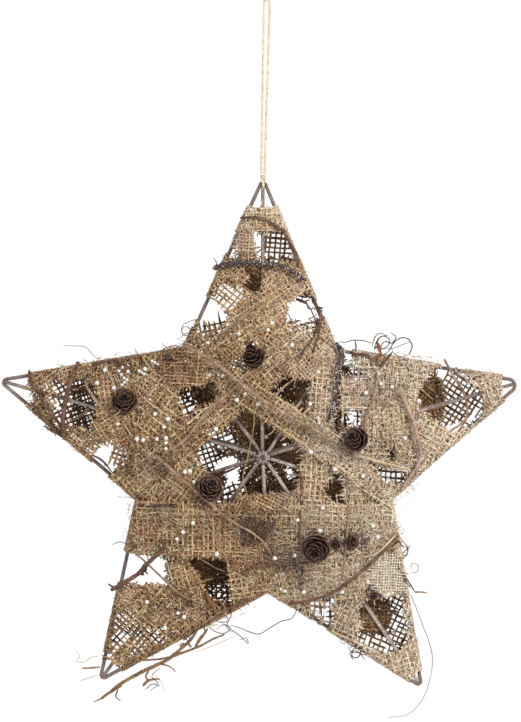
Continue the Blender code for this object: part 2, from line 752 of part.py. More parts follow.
def twine_tie(surface):
    """The eye of twine round the tip wire, with its knot on top."""
    above, below = tie_centre()
    top = HUB_HEIGHT + CORNERS[0].y
    middle = Vector((HUB_SIDE + CORNERS[0].x, 0.0, top - (above + below) / 2))
    tall = (below - above) / 2
    deep = WIRE_RADIUS + TWINE_RADIUS + FRAME_CLEARANCE
    points = []
    for number in range(EYE_STEPS):
        turn = 2 * math.pi * number / EYE_STEPS
        points.append(middle + Vector((0.0, deep * math.sin(turn), tall * math.cos(turn))))
    eye = tube("eye", points, [TWINE_RADIUS] * EYE_STEPS, surface, TWIG_SIDES, cyclic=True)
    graph = bpy.context.evaluated_depsgraph_get()
    mesh = bpy.data.meshes.new_from_object(eye.evaluated_get(graph))
    bpy.data.objects.remove(eye, do_unlink=True)
    ring = bpy.data.objects.new("eye", mesh)
    bpy.context.scene.collection.objects.link(ring)
    ball = bmesh.new()
    bmesh.ops.create_uvsphere(ball, u_segments=10, v_segments=6, radius=KNOT_RADIUS)
    bmesh.ops.translate(ball, vec=Vector((middle.x, 0.0, knot_height())), verts=ball.verts[:])
    knot_mesh = bpy.data.meshes.new("knot")
    ball.to_mesh(knot_mesh)
    ball.free()
    knot = bpy.data.objects.new("knot", knot_mesh)
    bpy.context.scene.collection.objects.link(knot)
    whole = joined([ring, knot])
    body = whole.data
    bpy.data.objects.remove(whole, do_unlink=True)
    body.name = "twine_tie"
    return place("twine_tie", body, surface, smooth=True)


def knot_height():
    """Height of the knot's middle, just over the eye."""
    above, _ = tie_centre()
    return HUB_HEIGHT + CORNERS[0].y - above + TWINE_RADIUS + KNOT_RADIUS - KNOT_SINK


def loop_route():
    """Own points of the hanging loop, up one leg and down the other."""
    low = knot_height() + KNOT_RADIUS + CLEARANCE
    foot = HUB_SIDE + CORNERS[0].x
    half_low = TWINE_RADIUS + CLEARANCE / 2
    half_top = TWINE_RADIUS + LOOP_OPENING / 2
    crown = TWINE_RADIUS
    legs = []
    for share in LOOP_STATIONS:
        half = half_low + (half_top - half_low) * min(1.0, share / LOOP_FULL_STATION)
        legs.append((foot * (1.0 - share), half, low + (crown - half_top - low) * share))
    left = [Vector((middle - half, 0.0, height)) for middle, half, height in legs]
    right = [Vector((middle + half, 0.0, height)) for middle, half, height in reversed(legs)]
    crest = []
    for bearing in LOOP_CREST:
        turn = math.radians(bearing)
        crest.append(Vector((half_top * math.sin(turn), 0.0,
                             crown - half_top + half_top * math.cos(turn))))
    return left + crest + right


def hanging_twine(surface):
    """The loop of twine that the star hangs by."""
    points = smooth_route(loop_route(), CORD_STEP)
    return tube("hanging_twine", points, [TWINE_RADIUS] * len(points), surface, CORD_SIDES)


def build():
    """Make the whole ornament."""
    clear_scene()
    wire = material("rusted_wire", (0.155, 0.118, 0.100), 0.65, 0.4)
    jute = material("natural_jute", (0.270, 0.182, 0.095), 0.92)
    twine = material("pale_twine", (0.640, 0.480, 0.290), 0.90)
    bark = {"dark": material("dark_vine", (0.052, 0.036, 0.034), 0.85),
            "tan": material("tan_twig", (0.330, 0.215, 0.120), 0.80),
            "red": material("red_brown_twig", (0.150, 0.078, 0.045), 0.80)}
    scales = material("cone_scales", (0.050, 0.020, 0.012), 0.70)
    outline_wire(wire)
    for number in range(len(TIPS)):
        spoke("front_tip_spoke_%d" % (number + 1), 1.0, 2 * number, wire)
        spoke("front_valley_spoke_%d" % (number + 1), 1.0, 2 * number + 1, wire)
        spoke("back_tip_spoke_%d" % (number + 1), -1.0, 2 * number, wire)
    hub("front_hub", 1.0, wire)
    hub("back_hub", -1.0, wire)
    for name, layer, fronts, backs in STRIPS:
        jute_strip(name, layer, fronts, backs, jute)
    twigs(bark)
    branching_twig(bark["tan"])
    tendril(bark["red"])
    for name, station, share, radius, length, lean, bearing in CONES:
        cone(name, station, share, radius, length, lean, bearing, scales)
    hanging_twine(twine)
    twine_tie(twine)


build()
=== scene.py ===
import math
import random

import bmesh
import bpy
import numpy as np
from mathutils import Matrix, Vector, noise
from mathutils.bvhtree import BVHTree


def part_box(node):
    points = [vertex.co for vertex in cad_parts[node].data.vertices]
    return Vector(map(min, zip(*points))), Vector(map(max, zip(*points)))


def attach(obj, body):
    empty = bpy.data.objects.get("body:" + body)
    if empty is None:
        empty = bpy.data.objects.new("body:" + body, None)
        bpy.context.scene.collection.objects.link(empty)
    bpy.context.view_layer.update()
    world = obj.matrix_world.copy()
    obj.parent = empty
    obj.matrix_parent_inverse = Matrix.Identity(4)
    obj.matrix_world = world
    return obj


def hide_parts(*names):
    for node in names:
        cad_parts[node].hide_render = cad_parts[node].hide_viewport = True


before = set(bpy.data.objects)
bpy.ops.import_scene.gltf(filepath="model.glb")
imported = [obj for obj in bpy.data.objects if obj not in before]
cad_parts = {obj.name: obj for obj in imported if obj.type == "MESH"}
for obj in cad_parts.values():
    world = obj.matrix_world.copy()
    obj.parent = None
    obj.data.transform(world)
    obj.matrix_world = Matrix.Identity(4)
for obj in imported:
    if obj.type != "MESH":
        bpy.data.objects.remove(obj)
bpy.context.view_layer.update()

dice = random.Random(11)
noise.seed_set(11)  # else the noise vectors change with the clock

# The star as its wire was bent: reaches in metres, then each corner's share and bearing from the top
star = {
    "tipReach": 0.212, "valleyReach": 0.101, "hubRise": 0.038,
    "tips": ((1.01, 0.0), (0.985, 74.0), (1.02, 145.5), (1.01, 216.0), (1.00, 286.0)),
    "valleys": ((0.98, 34.0), (1.01, 108.5), (1.015, 178.0), (1.00, 251.0), (1.005, 323.5)),
}
# How the photograph sees it: the hub's pixel, and the size of a pixel at the star's middle plane
photo = {"width": 521, "height": 722, "hubAt": (263.0, 456.0), "pixel": 0.000772, "distance": 2.4}
hubLow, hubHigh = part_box("front_hub")
hub = Vector(((hubLow.x + hubHigh.x) / 2, 0.0, (hubLow.z + hubHigh.z) / 2))
eye = Vector((hub.x + (photo["width"] / 2 - photo["hubAt"][0]) * photo["pixel"], -photo["distance"],
              hub.z + (photo["hubAt"][1] - photo["height"] / 2) * photo["pixel"]))


def starPoint(reach, bearing):
    turn = math.radians(bearing)
    return Vector((reach * math.sin(turn), reach * math.cos(turn)))


corners = [starPoint(star[reach] * share, bearing) for pair in zip(star["tips"], star["valleys"])
           for reach, (share, bearing) in zip(("tipReach", "valleyReach"), pair)]


def onFrame(flat, depth=0.0):  # a point of the flat outline, where it stands in the room
    return Vector((hub.x + flat.x, depth, hub.z + flat.y))


def outlineSpot(station, share):  # even stations are tips, odd ones valleys, clockwise from the top
    first = int(math.floor(station))
    start, end = corners[first % 10], corners[(first + 1) % 10]
    return onFrame((start + (end - start) * (station - first)) * share)


def nearRim(x, z):  # distance inside the outline, the nearest point on it and the way out
    point = Vector((x - hub.x, z - hub.z))
    best, inside = None, False
    for index, start in enumerate(corners):
        end = corners[(index + 1) % 10]
        edge = end - start
        share = min(1.0, max(0.0, (point - start).dot(edge) / edge.length_squared))
        foot = start + edge * share
        gap = (point - foot).length
        if best is None or gap < best[0]:
            best = (gap, foot, Vector((-edge.y, edge.x)).normalized())
        if (start.y > point.y) != (end.y > point.y):
            if point.x < start.x + (point.y - start.y) * edge.x / edge.y:
                inside = not inside
    return (best[0] if inside else -best[0]), best[1], best[2]


def makeCamera():
    lens = bpy.data.cameras.new("camera")
    lens.sensor_width = 36.0
    lens.lens = lens.sensor_width * photo["distance"] / (photo["height"] * photo["pixel"])
    lens.clip_end = 50.0
    camera = bpy.data.objects.new("camera", lens)
    camera.location = eye
    camera.rotation_euler = (math.radians(90.0), 0.0, 0.0)
    bpy.context.scene.collection.objects.link(camera)
    bpy.context.scene.camera = camera


def pixelAt(px, py, depth):  # the point on the plane y = depth that a pixel of the photograph shows
    spread = photo["pixel"] * (photo["distance"] + depth) / photo["distance"]
    return Vector((eye.x + (px - photo["width"] / 2) * spread, depth,
                   eye.z - (py - photo["height"] / 2) * spread))


def pixelOf(point):  # the pixel of the photograph that shows a point
    spread = photo["pixel"] * (photo["distance"] + point.y) / photo["distance"]
    return (photo["width"] / 2 + (point.x - eye.x) / spread,
            photo["height"] / 2 - (point.z - eye.z) / spread)


def pairs(text):  # "x,y x,y" as numbers: pixels of the photograph, or stations and shares
    return [tuple(float(part) for part in pair.split(",")) for pair in text.split()]


def within(point, rings):  # whether the photograph shows the point inside one of the rings
    x, y = pixelOf(point)
    for ring in rings:
        hit = False
        for (sx, sy), (ex, ey) in zip(ring[-1:] + ring, ring):
            if (sy > y) != (ey > y) and x < sx + (y - sy) * (ex - sx) / (ey - sy):
                hit = not hit
        if hit:
            return True
    return False


makeCamera()
print("camera ready")


# Small helpers for nodes, paths and meshes
def hexColour(text):
    found = []
    for start in (0, 2, 4):
        value = int(text[start:start + 2], 16) / 255.0
        found.append(value / 12.92 if value <= 0.04045 else ((value + 0.055) / 1.055) ** 2.4)
    return (*found, 1.0)


def addNode(tree, kind, settings=None, links=None):  # gives the new node's outputs
    node = tree.nodes.new(kind)
    for key, value in (settings or {}).items():
        if key == "stops":
            band = node.color_ramp.elements
            while len(band) < len(value):
                band.new(0.5)
            for stop, (place, tone) in zip(band, value):
                stop.position, stop.color = place, hexColour(tone)
        elif isinstance(key, int) or key in node.inputs:
            node.inputs[key].default_value = value
        else:
            setattr(node, key, value)
    for key, source in (links or {}).items():
        tree.links.new(source, node.inputs[key])
    return node.outputs


def finishPiece(mesh, name, surface, stands=()):
    piece = bpy.data.objects.new(name, mesh)
    bpy.context.scene.collection.objects.link(piece)
    mesh.materials.clear()
    mesh.materials.append(surfaces[surface])
    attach(piece, "root")
    if stands:
        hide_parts(*stands)
    return piece


def ripple(x, y, z):  # smooth chance bumps, the same at every run
    return noise.noise(Vector((x, y, z)))


def waver(x, y, z):
    return noise.noise_vector(Vector((x, y, z)))


def anyWay(reach):
    return Vector([dice.uniform(-reach, reach) for _ in range(3)])


def lengthsAlong(points):
    lengths = [0.0]
    for start, end in zip(points, points[1:]):
        lengths.append(lengths[-1] + (end - start).length)
    return lengths


def smoothRoute(route, step):  # evenly spaced points on a smooth curve through hand-set points
    padded = [route[0] * 2 - route[1]] + list(route) + [route[-1] * 2 - route[-2]]
    fine = []
    for index in range(1, len(padded) - 2):
        a, b, c, d = padded[index - 1:index + 3]
        for part in range(12):
            t = part / 12
            fine.append(0.5 * (2 * b + (c - a) * t + (2 * a - 5 * b + 4 * c - d) * t * t
                               + (3 * b - a - 3 * c + d) * t * t * t))
    fine.append(padded[-2])
    lengths = lengthsAlong(fine)
    count = max(2, round(lengths[-1] / step))
    points, at = [], 0
    for number in range(count + 1):
        goal = lengths[-1] * number / count
        while at < len(fine) - 2 and lengths[at + 1] < goal:
            at += 1
        part = (goal - lengths[at]) / max(lengths[at + 1] - lengths[at], 1e-9)
        points.append(fine[at].lerp(fine[at + 1], min(1.0, part)))
    return points


def tubeMesh(name, runs, sides=4):
    # runs are (points, radii, tone or a tone for each point): each becomes one closed tube, and
    # the attribute "yarn" keeps the length along it, a number of its own and its tone
    curve = bpy.data.curves.new(name, "CURVE")
    curve.dimensions = "3D"
    curve.bevel_depth = 1.0
    curve.bevel_resolution = sides // 2 - 2
    curve.use_fill_caps = True
    caps, rings = [], []
    for number, (points, radii, tone) in enumerate(runs):
        line = curve.splines.new("POLY")
        line.points.add(len(points) - 1)
        line.points.foreach_set("co", [x for p in points for x in (*p, 1.0)])
        line.points.foreach_set("radius", radii)
        rows = np.empty((len(points), 3))
        rows[:, 0] = lengthsAlong(points)
        rows[:, 1] = (number * 0.618) % 1.0
        rows[:, 2] = tone
        caps.insert(0, np.repeat(rows[[-1, 0]], sides, axis=0))
        rings.append(np.repeat(rows, sides, axis=0))
    holder = bpy.data.objects.new(name, curve)
    bpy.context.scene.collection.objects.link(holder)
    bpy.context.view_layer.update()
    graph = bpy.context.evaluated_depsgraph_get()
    mesh = bpy.data.meshes.new_from_object(holder.evaluated_get(graph))
    bpy.data.objects.remove(holder)
    bpy.data.curves.remove(curve)
    values = np.concatenate(caps + rings)  # the caps come first, last run first
    yarn = mesh.attributes.new("yarn", "FLOAT_VECTOR", "POINT")
    yarn.data.foreach_set("vector", values.astype(np.float32).ravel())
    work = bmesh.new()
    work.from_mesh(mesh)
    bmesh.ops.remove_doubles(work, verts=work.verts[:], dist=2e-6)
    work.normal_update()
    work.to_mesh(mesh)
    work.free()
    mesh.shade_smooth()
    return mesh


def tubePiece(name, runs, surface, stands=(), sides=4):
    return finishPiece(tubeMesh(name, runs, sides), name, surface, stands)


def meshFrom(work, name):
    mesh = bpy.data.meshes.new(name)
    work.to_mesh(mesh)
    work.free()
    mesh.shade_smooth()
    return mesh


# Surfaces
# Where the white dusting lies, partly spray frost and partly painted light: paler on the right and at
# the top, where the key lamp falls.
frostAndLight = {"fromX": -0.004, "toX": 0.065, "fromZ": -0.21, "toZ": -0.15, "most": 0.95, "tone": "F6EEDF"}


def newMaterial(name, roughness, **sockets):
    made = bpy.data.materials.new(name)
    made.use_nodes = True
    shader = made.node_tree.nodes["Principled BSDF"]
    shader.inputs["Roughness"].default_value = roughness
    for key, value in sockets.items():
        shader.inputs[key.replace("_", " ")].default_value = value
    return made, made.node_tree, addNode(made.node_tree, "ShaderNodeTexCoord")["Object"]


def finishShader(made, base, height, strength, depth):
    tree, shader = made.node_tree, made.node_tree.nodes["Principled BSDF"]
    relief = addNode(tree, "ShaderNodeBump", {"Strength": strength, "Distance": depth},
                     {"Height": height})
    tree.links.new(base, shader.inputs["Base Color"])
    tree.links.new(relief["Normal"], shader.inputs["Normal"])
    return made


def layered(tree, level, offset, patterns):  # a level with a share of each pattern added to it
    level = addNode(tree, "ShaderNodeMath", {"operation": "ADD", 1: offset}, {0: level})[0]
    for pattern, share in patterns:
        level = addNode(tree, "ShaderNodeMath", {"operation": "MULTIPLY_ADD", 1: share},
                        {0: pattern, 2: level})[0]
    return level


def frostedAndLit(tree, base, place):  # a dusting of white, partly the spray's frost and partly painted light: paler on the right and at the top, where the key lamp falls, and only in front
    x, y, z = addNode(tree, "ShaderNodeSeparateXYZ", None, {"Vector": place})
    dust = addNode(tree, "ShaderNodeTexNoise", {"Scale": 420.0, "Detail": 3.0, "Roughness": 0.7},
                   {"Vector": place})[0]
    drift = addNode(tree, "ShaderNodeTexNoise", {"Scale": 28.0, "Detail": 2.0}, {"Vector": place})[0]
    sideways, upward, facing, cover = (
        addNode(tree, "ShaderNodeMapRange", {"From Min": low, "From Max": high, "To Max": most},
                {"Value": value})[0]
        for value, low, high, most in ((x, frostAndLight["fromX"], frostAndLight["toX"], 1.0),
                                       (z, frostAndLight["fromZ"], frostAndLight["toZ"], 1.2),
                                       (y, 0.004, -0.004, frostAndLight["most"] * 2.0),
                                       (dust, 0.42, 0.62, 1.0)))
    reach = addNode(tree, "ShaderNodeMath", {"operation": "MAXIMUM"}, {0: sideways, 1: upward})[0]
    for part in (reach, facing, drift):
        cover = addNode(tree, "ShaderNodeMath", {"operation": "MULTIPLY"}, {0: cover, 1: part})[0]
    return addNode(tree, "ShaderNodeMix", {"data_type": "RGBA", 7: hexColour(frostAndLight["tone"])},
                   {0: cover, 6: base})[2]


def juteMaterial(name, stops, grime, tint):
    # Jute yarn: dull hairy plant fibre, so rough all over, streaked along the yarn
    made, tree, place = newMaterial(name, 0.93, Specular_IOR_Level=0.18, Sheen_Weight=0.25,
                                    Sheen_Roughness=0.6)
    yarn = addNode(tree, "ShaderNodeAttribute", {"attribute_name": "yarn"})["Vector"]
    tone = addNode(tree, "ShaderNodeSeparateXYZ", None, {"Vector": yarn})["Z"]
    along = addNode(tree, "ShaderNodeVectorMath", {"operation": "MULTIPLY", 1: (430.0, 91.0, 0.0)},
                    {0: yarn})[0]
    streak, fleck, cloud, patch = (
        addNode(tree, "ShaderNodeTexNoise", {"Scale": scale, "Detail": detail, "Roughness": rough},
                {"Vector": at})[0]
        for at, scale, detail, rough in ((along, 1.0, 3.0, 0.7), (place, 640.0, 2.0, 0.6),
                                         (place, 34.0, 2.0, 0.5), (place, 110.0, 2.0, 0.5)))
    shares = ((streak, 1.35), (fleck, 1.25), (cloud, grime))
    level = layered(tree, tone, -sum(share for _, share in shares) / 2, shares)
    base = addNode(tree, "ShaderNodeValToRGB", {"stops": stops}, {"Fac": level})[0]
    shade = addNode(tree, "ShaderNodeValToRGB", {"stops": tuple(zip((0.38, 0.5, 0.62), tint.split()))},
                    {"Fac": patch})[0]
    base = addNode(tree, "ShaderNodeMix", {"data_type": "RGBA", "blend_type": "MULTIPLY", 0: 1.0},
                   {6: base, 7: shade})[2]
    height = addNode(tree, "ShaderNodeMath", {"operation": "ADD"}, {0: fleck, 1: streak})[0]
    return finishShader(made, frostedAndLit(tree, base, place), height, 0.7, 0.0003)


def barkMaterial(name, middle, tones, roughness, grain, specks=0.0):
    # Dry bark: streaked along the stem, with pores and, on the frosted vines, pale grit
    made, tree, place = newMaterial(name, roughness, Specular_IOR_Level=0.3)
    yarn = addNode(tree, "ShaderNodeAttribute", {"attribute_name": "yarn"})["Vector"]
    tone = addNode(tree, "ShaderNodeSeparateXYZ", None, {"Vector": yarn})["Z"]
    along = addNode(tree, "ShaderNodeVectorMath", {"operation": "MULTIPLY", 1: (90.0, 40.0, 0.0)},
                    {0: yarn})[0]
    streak = addNode(tree, "ShaderNodeTexNoise", {"Scale": 1.0, "Detail": 4.0}, {"Vector": along})[0]
    pores = addNode(tree, "ShaderNodeTexNoise", {"Scale": grain, "Detail": 4.0, "Roughness": 0.65},
                    {"Vector": place})[0]
    level = layered(tree, tone, -0.65, ((streak, 0.6), (pores, 0.7)))
    stops = tuple(zip((0.35, middle, 0.8), tones.split()))
    base = addNode(tree, "ShaderNodeValToRGB", {"stops": stops}, {"Fac": level})[0]
    if specks:
        grit = addNode(tree, "ShaderNodeTexVoronoi", {"Scale": 700.0}, {"Vector": place})["Distance"]
        hit = addNode(tree, "ShaderNodeMath", {"operation": "LESS_THAN", 1: specks}, {0: grit})[0]
        base = addNode(tree, "ShaderNodeMix", {"data_type": "RGBA", 7: hexColour("BDB3AB")},
                       {0: hit, 6: base})[2]
    return finishShader(made, base, pores, 0.8, 0.0005)


def coneMaterial():
    # Ripe cone scales: hard dark red-brown wood, paler at the rims, partly the drier wood's own tone
    # and partly a painted highlight where light catches them
    made, tree, place = newMaterial("ripe_cone_scales", 0.55, Specular_IOR_Level=0.4)
    rim = addNode(tree, "ShaderNodeAttribute", {"attribute_name": "rim"})["Fac"]
    grain = addNode(tree, "ShaderNodeTexNoise", {"Scale": 700.0, "Detail": 3.0}, {"Vector": place})[0]
    stops = ((0.0, "120A08"), (0.5, "2E1A14"), (0.82, "4C2F24"), (1.0, "7E604C"))
    base = addNode(tree, "ShaderNodeValToRGB", {"stops": stops},
                   {"Fac": layered(tree, rim, -0.25, ((grain, 0.5),))})[0]
    return finishShader(made, base, grain, 0.5, 0.0003)


def snowMaterial():
    # Artificial snow: matt crumbly off-white foam with a fine pitted face
    made, tree, place = newMaterial("crumbly_snow", 0.85, Subsurface_Weight=0.25,
                                    Subsurface_Scale=0.001)
    pits = addNode(tree, "ShaderNodeTexNoise", {"Scale": 1500.0, "Detail": 2.0}, {"Vector": place})[0]
    base = addNode(tree, "ShaderNodeValToRGB", {"stops": ((0.3, "D9D5CD"), (0.6, "FBFAF6"))},
                   {"Fac": pits})[0]
    return finishShader(made, base, pits, 0.6, 0.0003)


surfaces = {"cone": coneMaterial(), "snow": snowMaterial()}
jutes = {  # material, colour stops, grime and the tints of its patches
    "twine": ("pale_two_ply_twine", ((0.2, "B08E5E"), (0.55, "DEC49B"), (0.9, "F4E6CC")),
              0.2, "F4EEE4 FFFFFF FFFFFF"),
    "jute": ("natural_open_jute",
             ((0.05, "523622"), (0.35, "92704C"), (0.62, "C4A47C"), (0.95, "F0DFBC")),
             0.5, "F6E6DC FAF5EC F3F2DC"),
    "bleached": ("bleached_gauze", ((0.05, "8A7A62"), (0.5, "CEC0A6"), (0.95, "F6EEDE")),
                 0.3, "F4F0EA FFFFFF F6F6F0"),
    "fibre": ("loose_jute_fibre",
              ((0.05, "4E3320"), (0.35, "92704C"), (0.62, "C6A884"), (0.95, "F4E8D2")),
              0.5, "F6E6DC FAF5EC F3F2DC"),
}
barks = {  # material, place of the middle tone, tones from dark to pale, roughness, grain and grit
    "dark": ("frosted_knobbly_vine", 0.6, "33292A 5A4A4A 8C7B76", 0.75, 600.0, 0.16),
    "tan": ("dry_peeled_twig", 0.55, "6A5242 A88C74 DCCAB4", 0.8, 500.0),
    "red": ("red_brown_bark", 0.55, "422D24 765746 A88C78", 0.75, 500.0),
    "brown": ("brown_forked_bark", 0.55, "573B28 91704E C09E70", 0.75, 500.0),
    "orange": ("orange_vine_bark", 0.55, "5E3C24 94663E C09468", 0.75, 500.0),
    "grey": ("weathered_wire_wrap", 0.58, "564840 90807A C8BAB0", 0.7, 650.0),
    "tendril": ("dry_tendril", 0.6, "32241E 5E483C 8A7262", 0.7, 650.0),
    "pink": ("smooth_pink_vine", 0.55, "80625A BCA294 E2D2C6", 0.65, 400.0),
    "cream": ("bleached_twig", 0.55, "96795A D3BE9C EEE0C8", 0.75, 500.0),
    "straw": ("straw_stem", 0.55, "7C6846 B29A6E D2BE94", 0.7, 500.0),
}
surfaces.update({key: juteMaterial(*row) for key, row in jutes.items()})
surfaces.update({key: barkMaterial(*row) for key, row in barks.items()})
print("surfaces ready")

# Pale hanging twine: soft two-ply jute string, tied in a narrow loop
twine = {
    "radius": 0.0011, "ply": 0.00062, "twist": 0.0052, "step": 0.0008, "fuzz": 0.00006,
    "opening": 0.0020, "knotRadius": 0.0024, "knotSink": 0.0014, "clearance": 0.0003,
    "stations": (0.0, 0.25, 0.55, 0.85, 0.96), "fullStation": 0.85, "crest": (-60, -30, 0, 30, 60),
    "tail": ((0.001, -0.0008, 0.0002), (0.0016, -0.0012, -0.0014), (0.0014, -0.0016, -0.0032),
             (0.0018, -0.0014, -0.0048)),
}


def twineRoute():  # up one leg of the loop, over its crest and down the other, as in the solid model
    low, (tieLow, tieHigh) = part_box("hanging_twine")[0].z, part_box("twine_tie")
    foot = (tieLow.x + tieHigh.x) / 2
    crown = twine["radius"]
    halfLow, halfTop = crown + twine["clearance"] / 2, crown + twine["opening"] / 2
    left, right = [], []
    for share in twine["stations"]:
        half = halfLow + (halfTop - halfLow) * min(1.0, share / twine["fullStation"])
        middle, height = foot * (1.0 - share), low + (crown - halfTop - low) * share
        left.append(Vector((middle - half, 0.0, height)))
        right.insert(0, Vector((middle + half, 0.0, height)))
    crest = [starPoint(halfTop, bearing) for bearing in twine["crest"]]
    return left + [Vector((spot.x, 0.0, crown - halfTop + spot.y)) for spot in crest] + right


def twistedPlies(points, ply, tone):
    lengths, runs = lengthsAlong(points), []
    for strand in (0, 1):
        path = []
        for index, (point, at) in enumerate(zip(points, lengths)):
            ahead = (points[min(len(points) - 1, index + 1)] - points[max(0, index - 1)]).normalized()
            side = ahead.cross(Vector((0.0, 1.0, 0.0)))
            side = side.normalized() if side.length > 1e-6 else Vector((1.0, 0.0, 0.0))
            turn = math.pi * strand + 2 * math.pi * at / twine["twist"]
            way = side * math.cos(turn) + ahead.cross(side) * math.sin(turn)
            path.append(point + way * ply * 0.82)
        radii = [ply * (1.0 + 0.12 * ripple(at * 300, strand * 7.0, 1.0)) for at in lengths]
        runs.append((path, radii, tone + 0.06 * strand))
    return runs


def fuzzRuns(points, count, longest):
    runs = []
    for _ in range(count):
        at = dice.randrange(len(points))
        way = anyWay(1.0).normalized()
        start = points[at] + way * twine["radius"] * 0.5
        bend = anyWay(0.5)
        long = dice.uniform(0.001, longest)
        middle = start + way * long * 0.5
        runs.append(([start, middle, middle + (way + bend).normalized() * long * 0.5],
                     [twine["fuzz"] * share for share in (1.0, 0.8, 0.4)], 0.7))
    return runs


def makeTie():
    low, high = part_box("twine_tie")
    middle = (low + high) / 2
    deep = (high.y - low.y) / 2 - twine["radius"]
    eyeTop = high.z - twine["knotRadius"] * 2 + twine["knotSink"] + twine["radius"] * 0.2
    tall = (eyeTop - low.z) / 2 - twine["radius"]
    ring, knot = [], []
    for number in range(61):
        turn = 2 * math.pi * number / 60 + math.pi / 10
        ring.append(Vector((middle.x + 0.0002 * math.sin(turn * 2), deep * math.sin(turn),
                            (eyeTop + low.z) / 2 + tall * math.cos(turn))))
    knotAt = Vector((middle.x, 0.0, high.z - twine["knotRadius"]))
    for number in range(90):  # an overhand knot drawn tight
        turn = 2 * math.pi * number / 60
        knot.append(knotAt + Vector(((math.sin(turn) + 2 * math.sin(2 * turn)) * 0.00052,
                                     (math.cos(turn) - 2 * math.cos(2 * turn)) * 0.00048,
                                     -math.sin(3 * turn) * 0.0008)))
    tail = smoothRoute([knotAt + Vector(step) for step in twine["tail"]], 0.0006)
    runs = twistedPlies(ring, twine["ply"], 0.55) + twistedPlies(knot, twine["ply"] * 0.8, 0.5)
    runs += twistedPlies(tail, twine["ply"] * 0.7, 0.6) + fuzzRuns(knot, 40, 0.0025)
    return tubePiece("twine_tie_knot", runs, "twine", ["twine_tie"], 6)


def makeTwine():
    path = smoothRoute(twineRoute(), twine["step"])
    fuzz = tubePiece("twine_fuzz", fuzzRuns(path, 170, 0.003), "twine")
    loop = tubePiece("hanging_loop_twine", twistedPlies(path, twine["ply"], 0.6), "twine",
                     ["hanging_twine"], 6)
    makeTie()


makeTwine()

# Open-weave jute strips, each woven yarn by yarn over its own CAD solid
jute = {
    "open": (0.0039, 0.00070), "dense": (0.0025, 0.00078), "over": 0.00055, "turnBack": 0.0039 * 1.4,
    "plyGap": 0.0010, "hug": 0.0004, "fray": (0.0008, 0.0045), "broken": 0.045, "slip": 0.0012,
    # Yarns in thin places are swollen and painted darker: painted shade of yarn seen with light behind
    # it.
    "wander": 0.00022, "stray": (0.0005, 0.0010), "thinSwell": 1.22, "thinShadeTone": -0.12,
    "hollow": 0.0012, "covered": 0.0024, "rimBase": 0.0019, "rimStep": 0.0002, "rimYarn": 0.00050,
    "rimTurns": (-75, -40, -8, 30, 68), "rimStations": 45, "rimReach": 0.014, "ribbon": 0.042,
    # The back's lower tone and the darkening of the dense bottom ply and of each deeper ply are painted
    # shade inside the cloth and the star.
    "frontTone": 0.58, "backShadeTone": 0.46, "denseShadeTone": 0.18, "plyShadeTone": 0.04,
    "denseTurn": (4.0, 12.0), "plyTurn": (16.0, 38.0),
    "creases": ((0.0011, 26.0, 0.3), (0.0005, 80.0, 4.3)),
}
# Layer out from the frame, plies in front, plies behind, warp bearing or None for the strip's own,
# and how much paler than the rest: painted light, paler on the right and at the top where the key lamp
# falls, darker at the lower left
strips = {
    "jute_tip_scrap": (0, 2, 0, None, 0.1), "jute_tip_patch": (0, 0, 1, 3.0, 0.0),
    "jute_tip_cross_low": (1, 3, 3, None, 0.0), "jute_right_seam": (0, 3, 2, None, 0.0),
    "jute_left_long": (1, 3, 2, None, 0.0), "jute_lower_left_neck": (0, 3, 0, None, -0.06),
    "jute_right_arm_low": (0, 3, 2, 32.0, 0.04), "jute_lower_left_tip": (0, 2, 0, 40.0, 0.0),
    "jute_lower_right_side": (1, 3, 2, 24.0, 0.05), "jute_left_tip_wrap": (0, 2, 2, None, 0.0),
    "jute_tip_cross_high": (2, 3, 1, None, 0.0), "jute_right_wide": (2, 3, 2, None, 0.0),
    "jute_bottom_run": (3, 3, 3, None, 0.04), "jute_lower_left_wrap": (1, 3, 1, 42.0, -0.08),
    "jute_lower_right_tip": (0, 3, 0, None, 0.04), "jute_left_edge": (2, 2, 0, None, 0.0),
    "jute_left_low_edge": (1, 2, 0, None, 0.0), "jute_right_tip_wrap": (1, 3, 0, None, 0.0),
    "jute_across_low": (4, 3, 2, None, 0.0), "jute_right_arm_high": (3, 3, 0, None, 0.05),
    "jute_left_arm_wide": (3, 3, 0, None, 0.0), "jute_long_down": (5, 3, 0, None, 0.0),
    "jute_long_up": (2, 3, 3, None, 0.0), "jute_tip_band": (1, 3, 2, None, 0.14),
}


def rings(text):  # outlines of places, as pixels of the photograph
    return [pairs(part) for part in text.split("/")]


# Tips of the wire left bare, tears in the cloth in front, holes worn in the cloth behind, and
# places where a single thin ply is left
bare = rings("""
    88,640 105,644 111,660 120,668 138,664 140,672 120,688 88,692 / 0,355 28,365 29,384 35,403
    26,404 0,395""")
windows = rings("""
    417,394 423,381 434,371 450,368 462,376 474,388 484,396 484,408 474,422 452,430 440,424 428,418
    420,408 / 360,604 369,598 382,600 391,612 390,630 376,634 364,630 358,618 / 378,468 405,470
    404,482 382,484 / 343,413 358,412 360,425 345,427 / 186,561 194,556 208,556 222,562 227,574
    216,588 206,584 196,572 / 244,270 262,267 262,288 252,289 / 251,231 259,231 260,262 257,262 /
    322,489 331,481 342,488 340,498 328,498 / 390,440 395,450 393,462 385,458 / 200,390 213,383
    221,392 212,403 199,408 / 226,259 234,246 239,258""")
holes = rings("""
    226,259 234,246 239,258 / 292,303 308,306 315,320 289,320 / 251,231 260,231 260,262 256,262 /
    213,469 220,458 230,455 240,460 240,466 222,473 / 223,475 240,468 240,484 227,484 / 283,443
    290,443 290,447 283,447 / 284,469 290,466 297,475 295,480 287,477 / 435,370 448,369 446,377
    436,378 / 447,424 458,424 456,433 448,432 / 310,603 320,605 319,615 312,614 / 325,606 330,607
    329,620 325,618""")
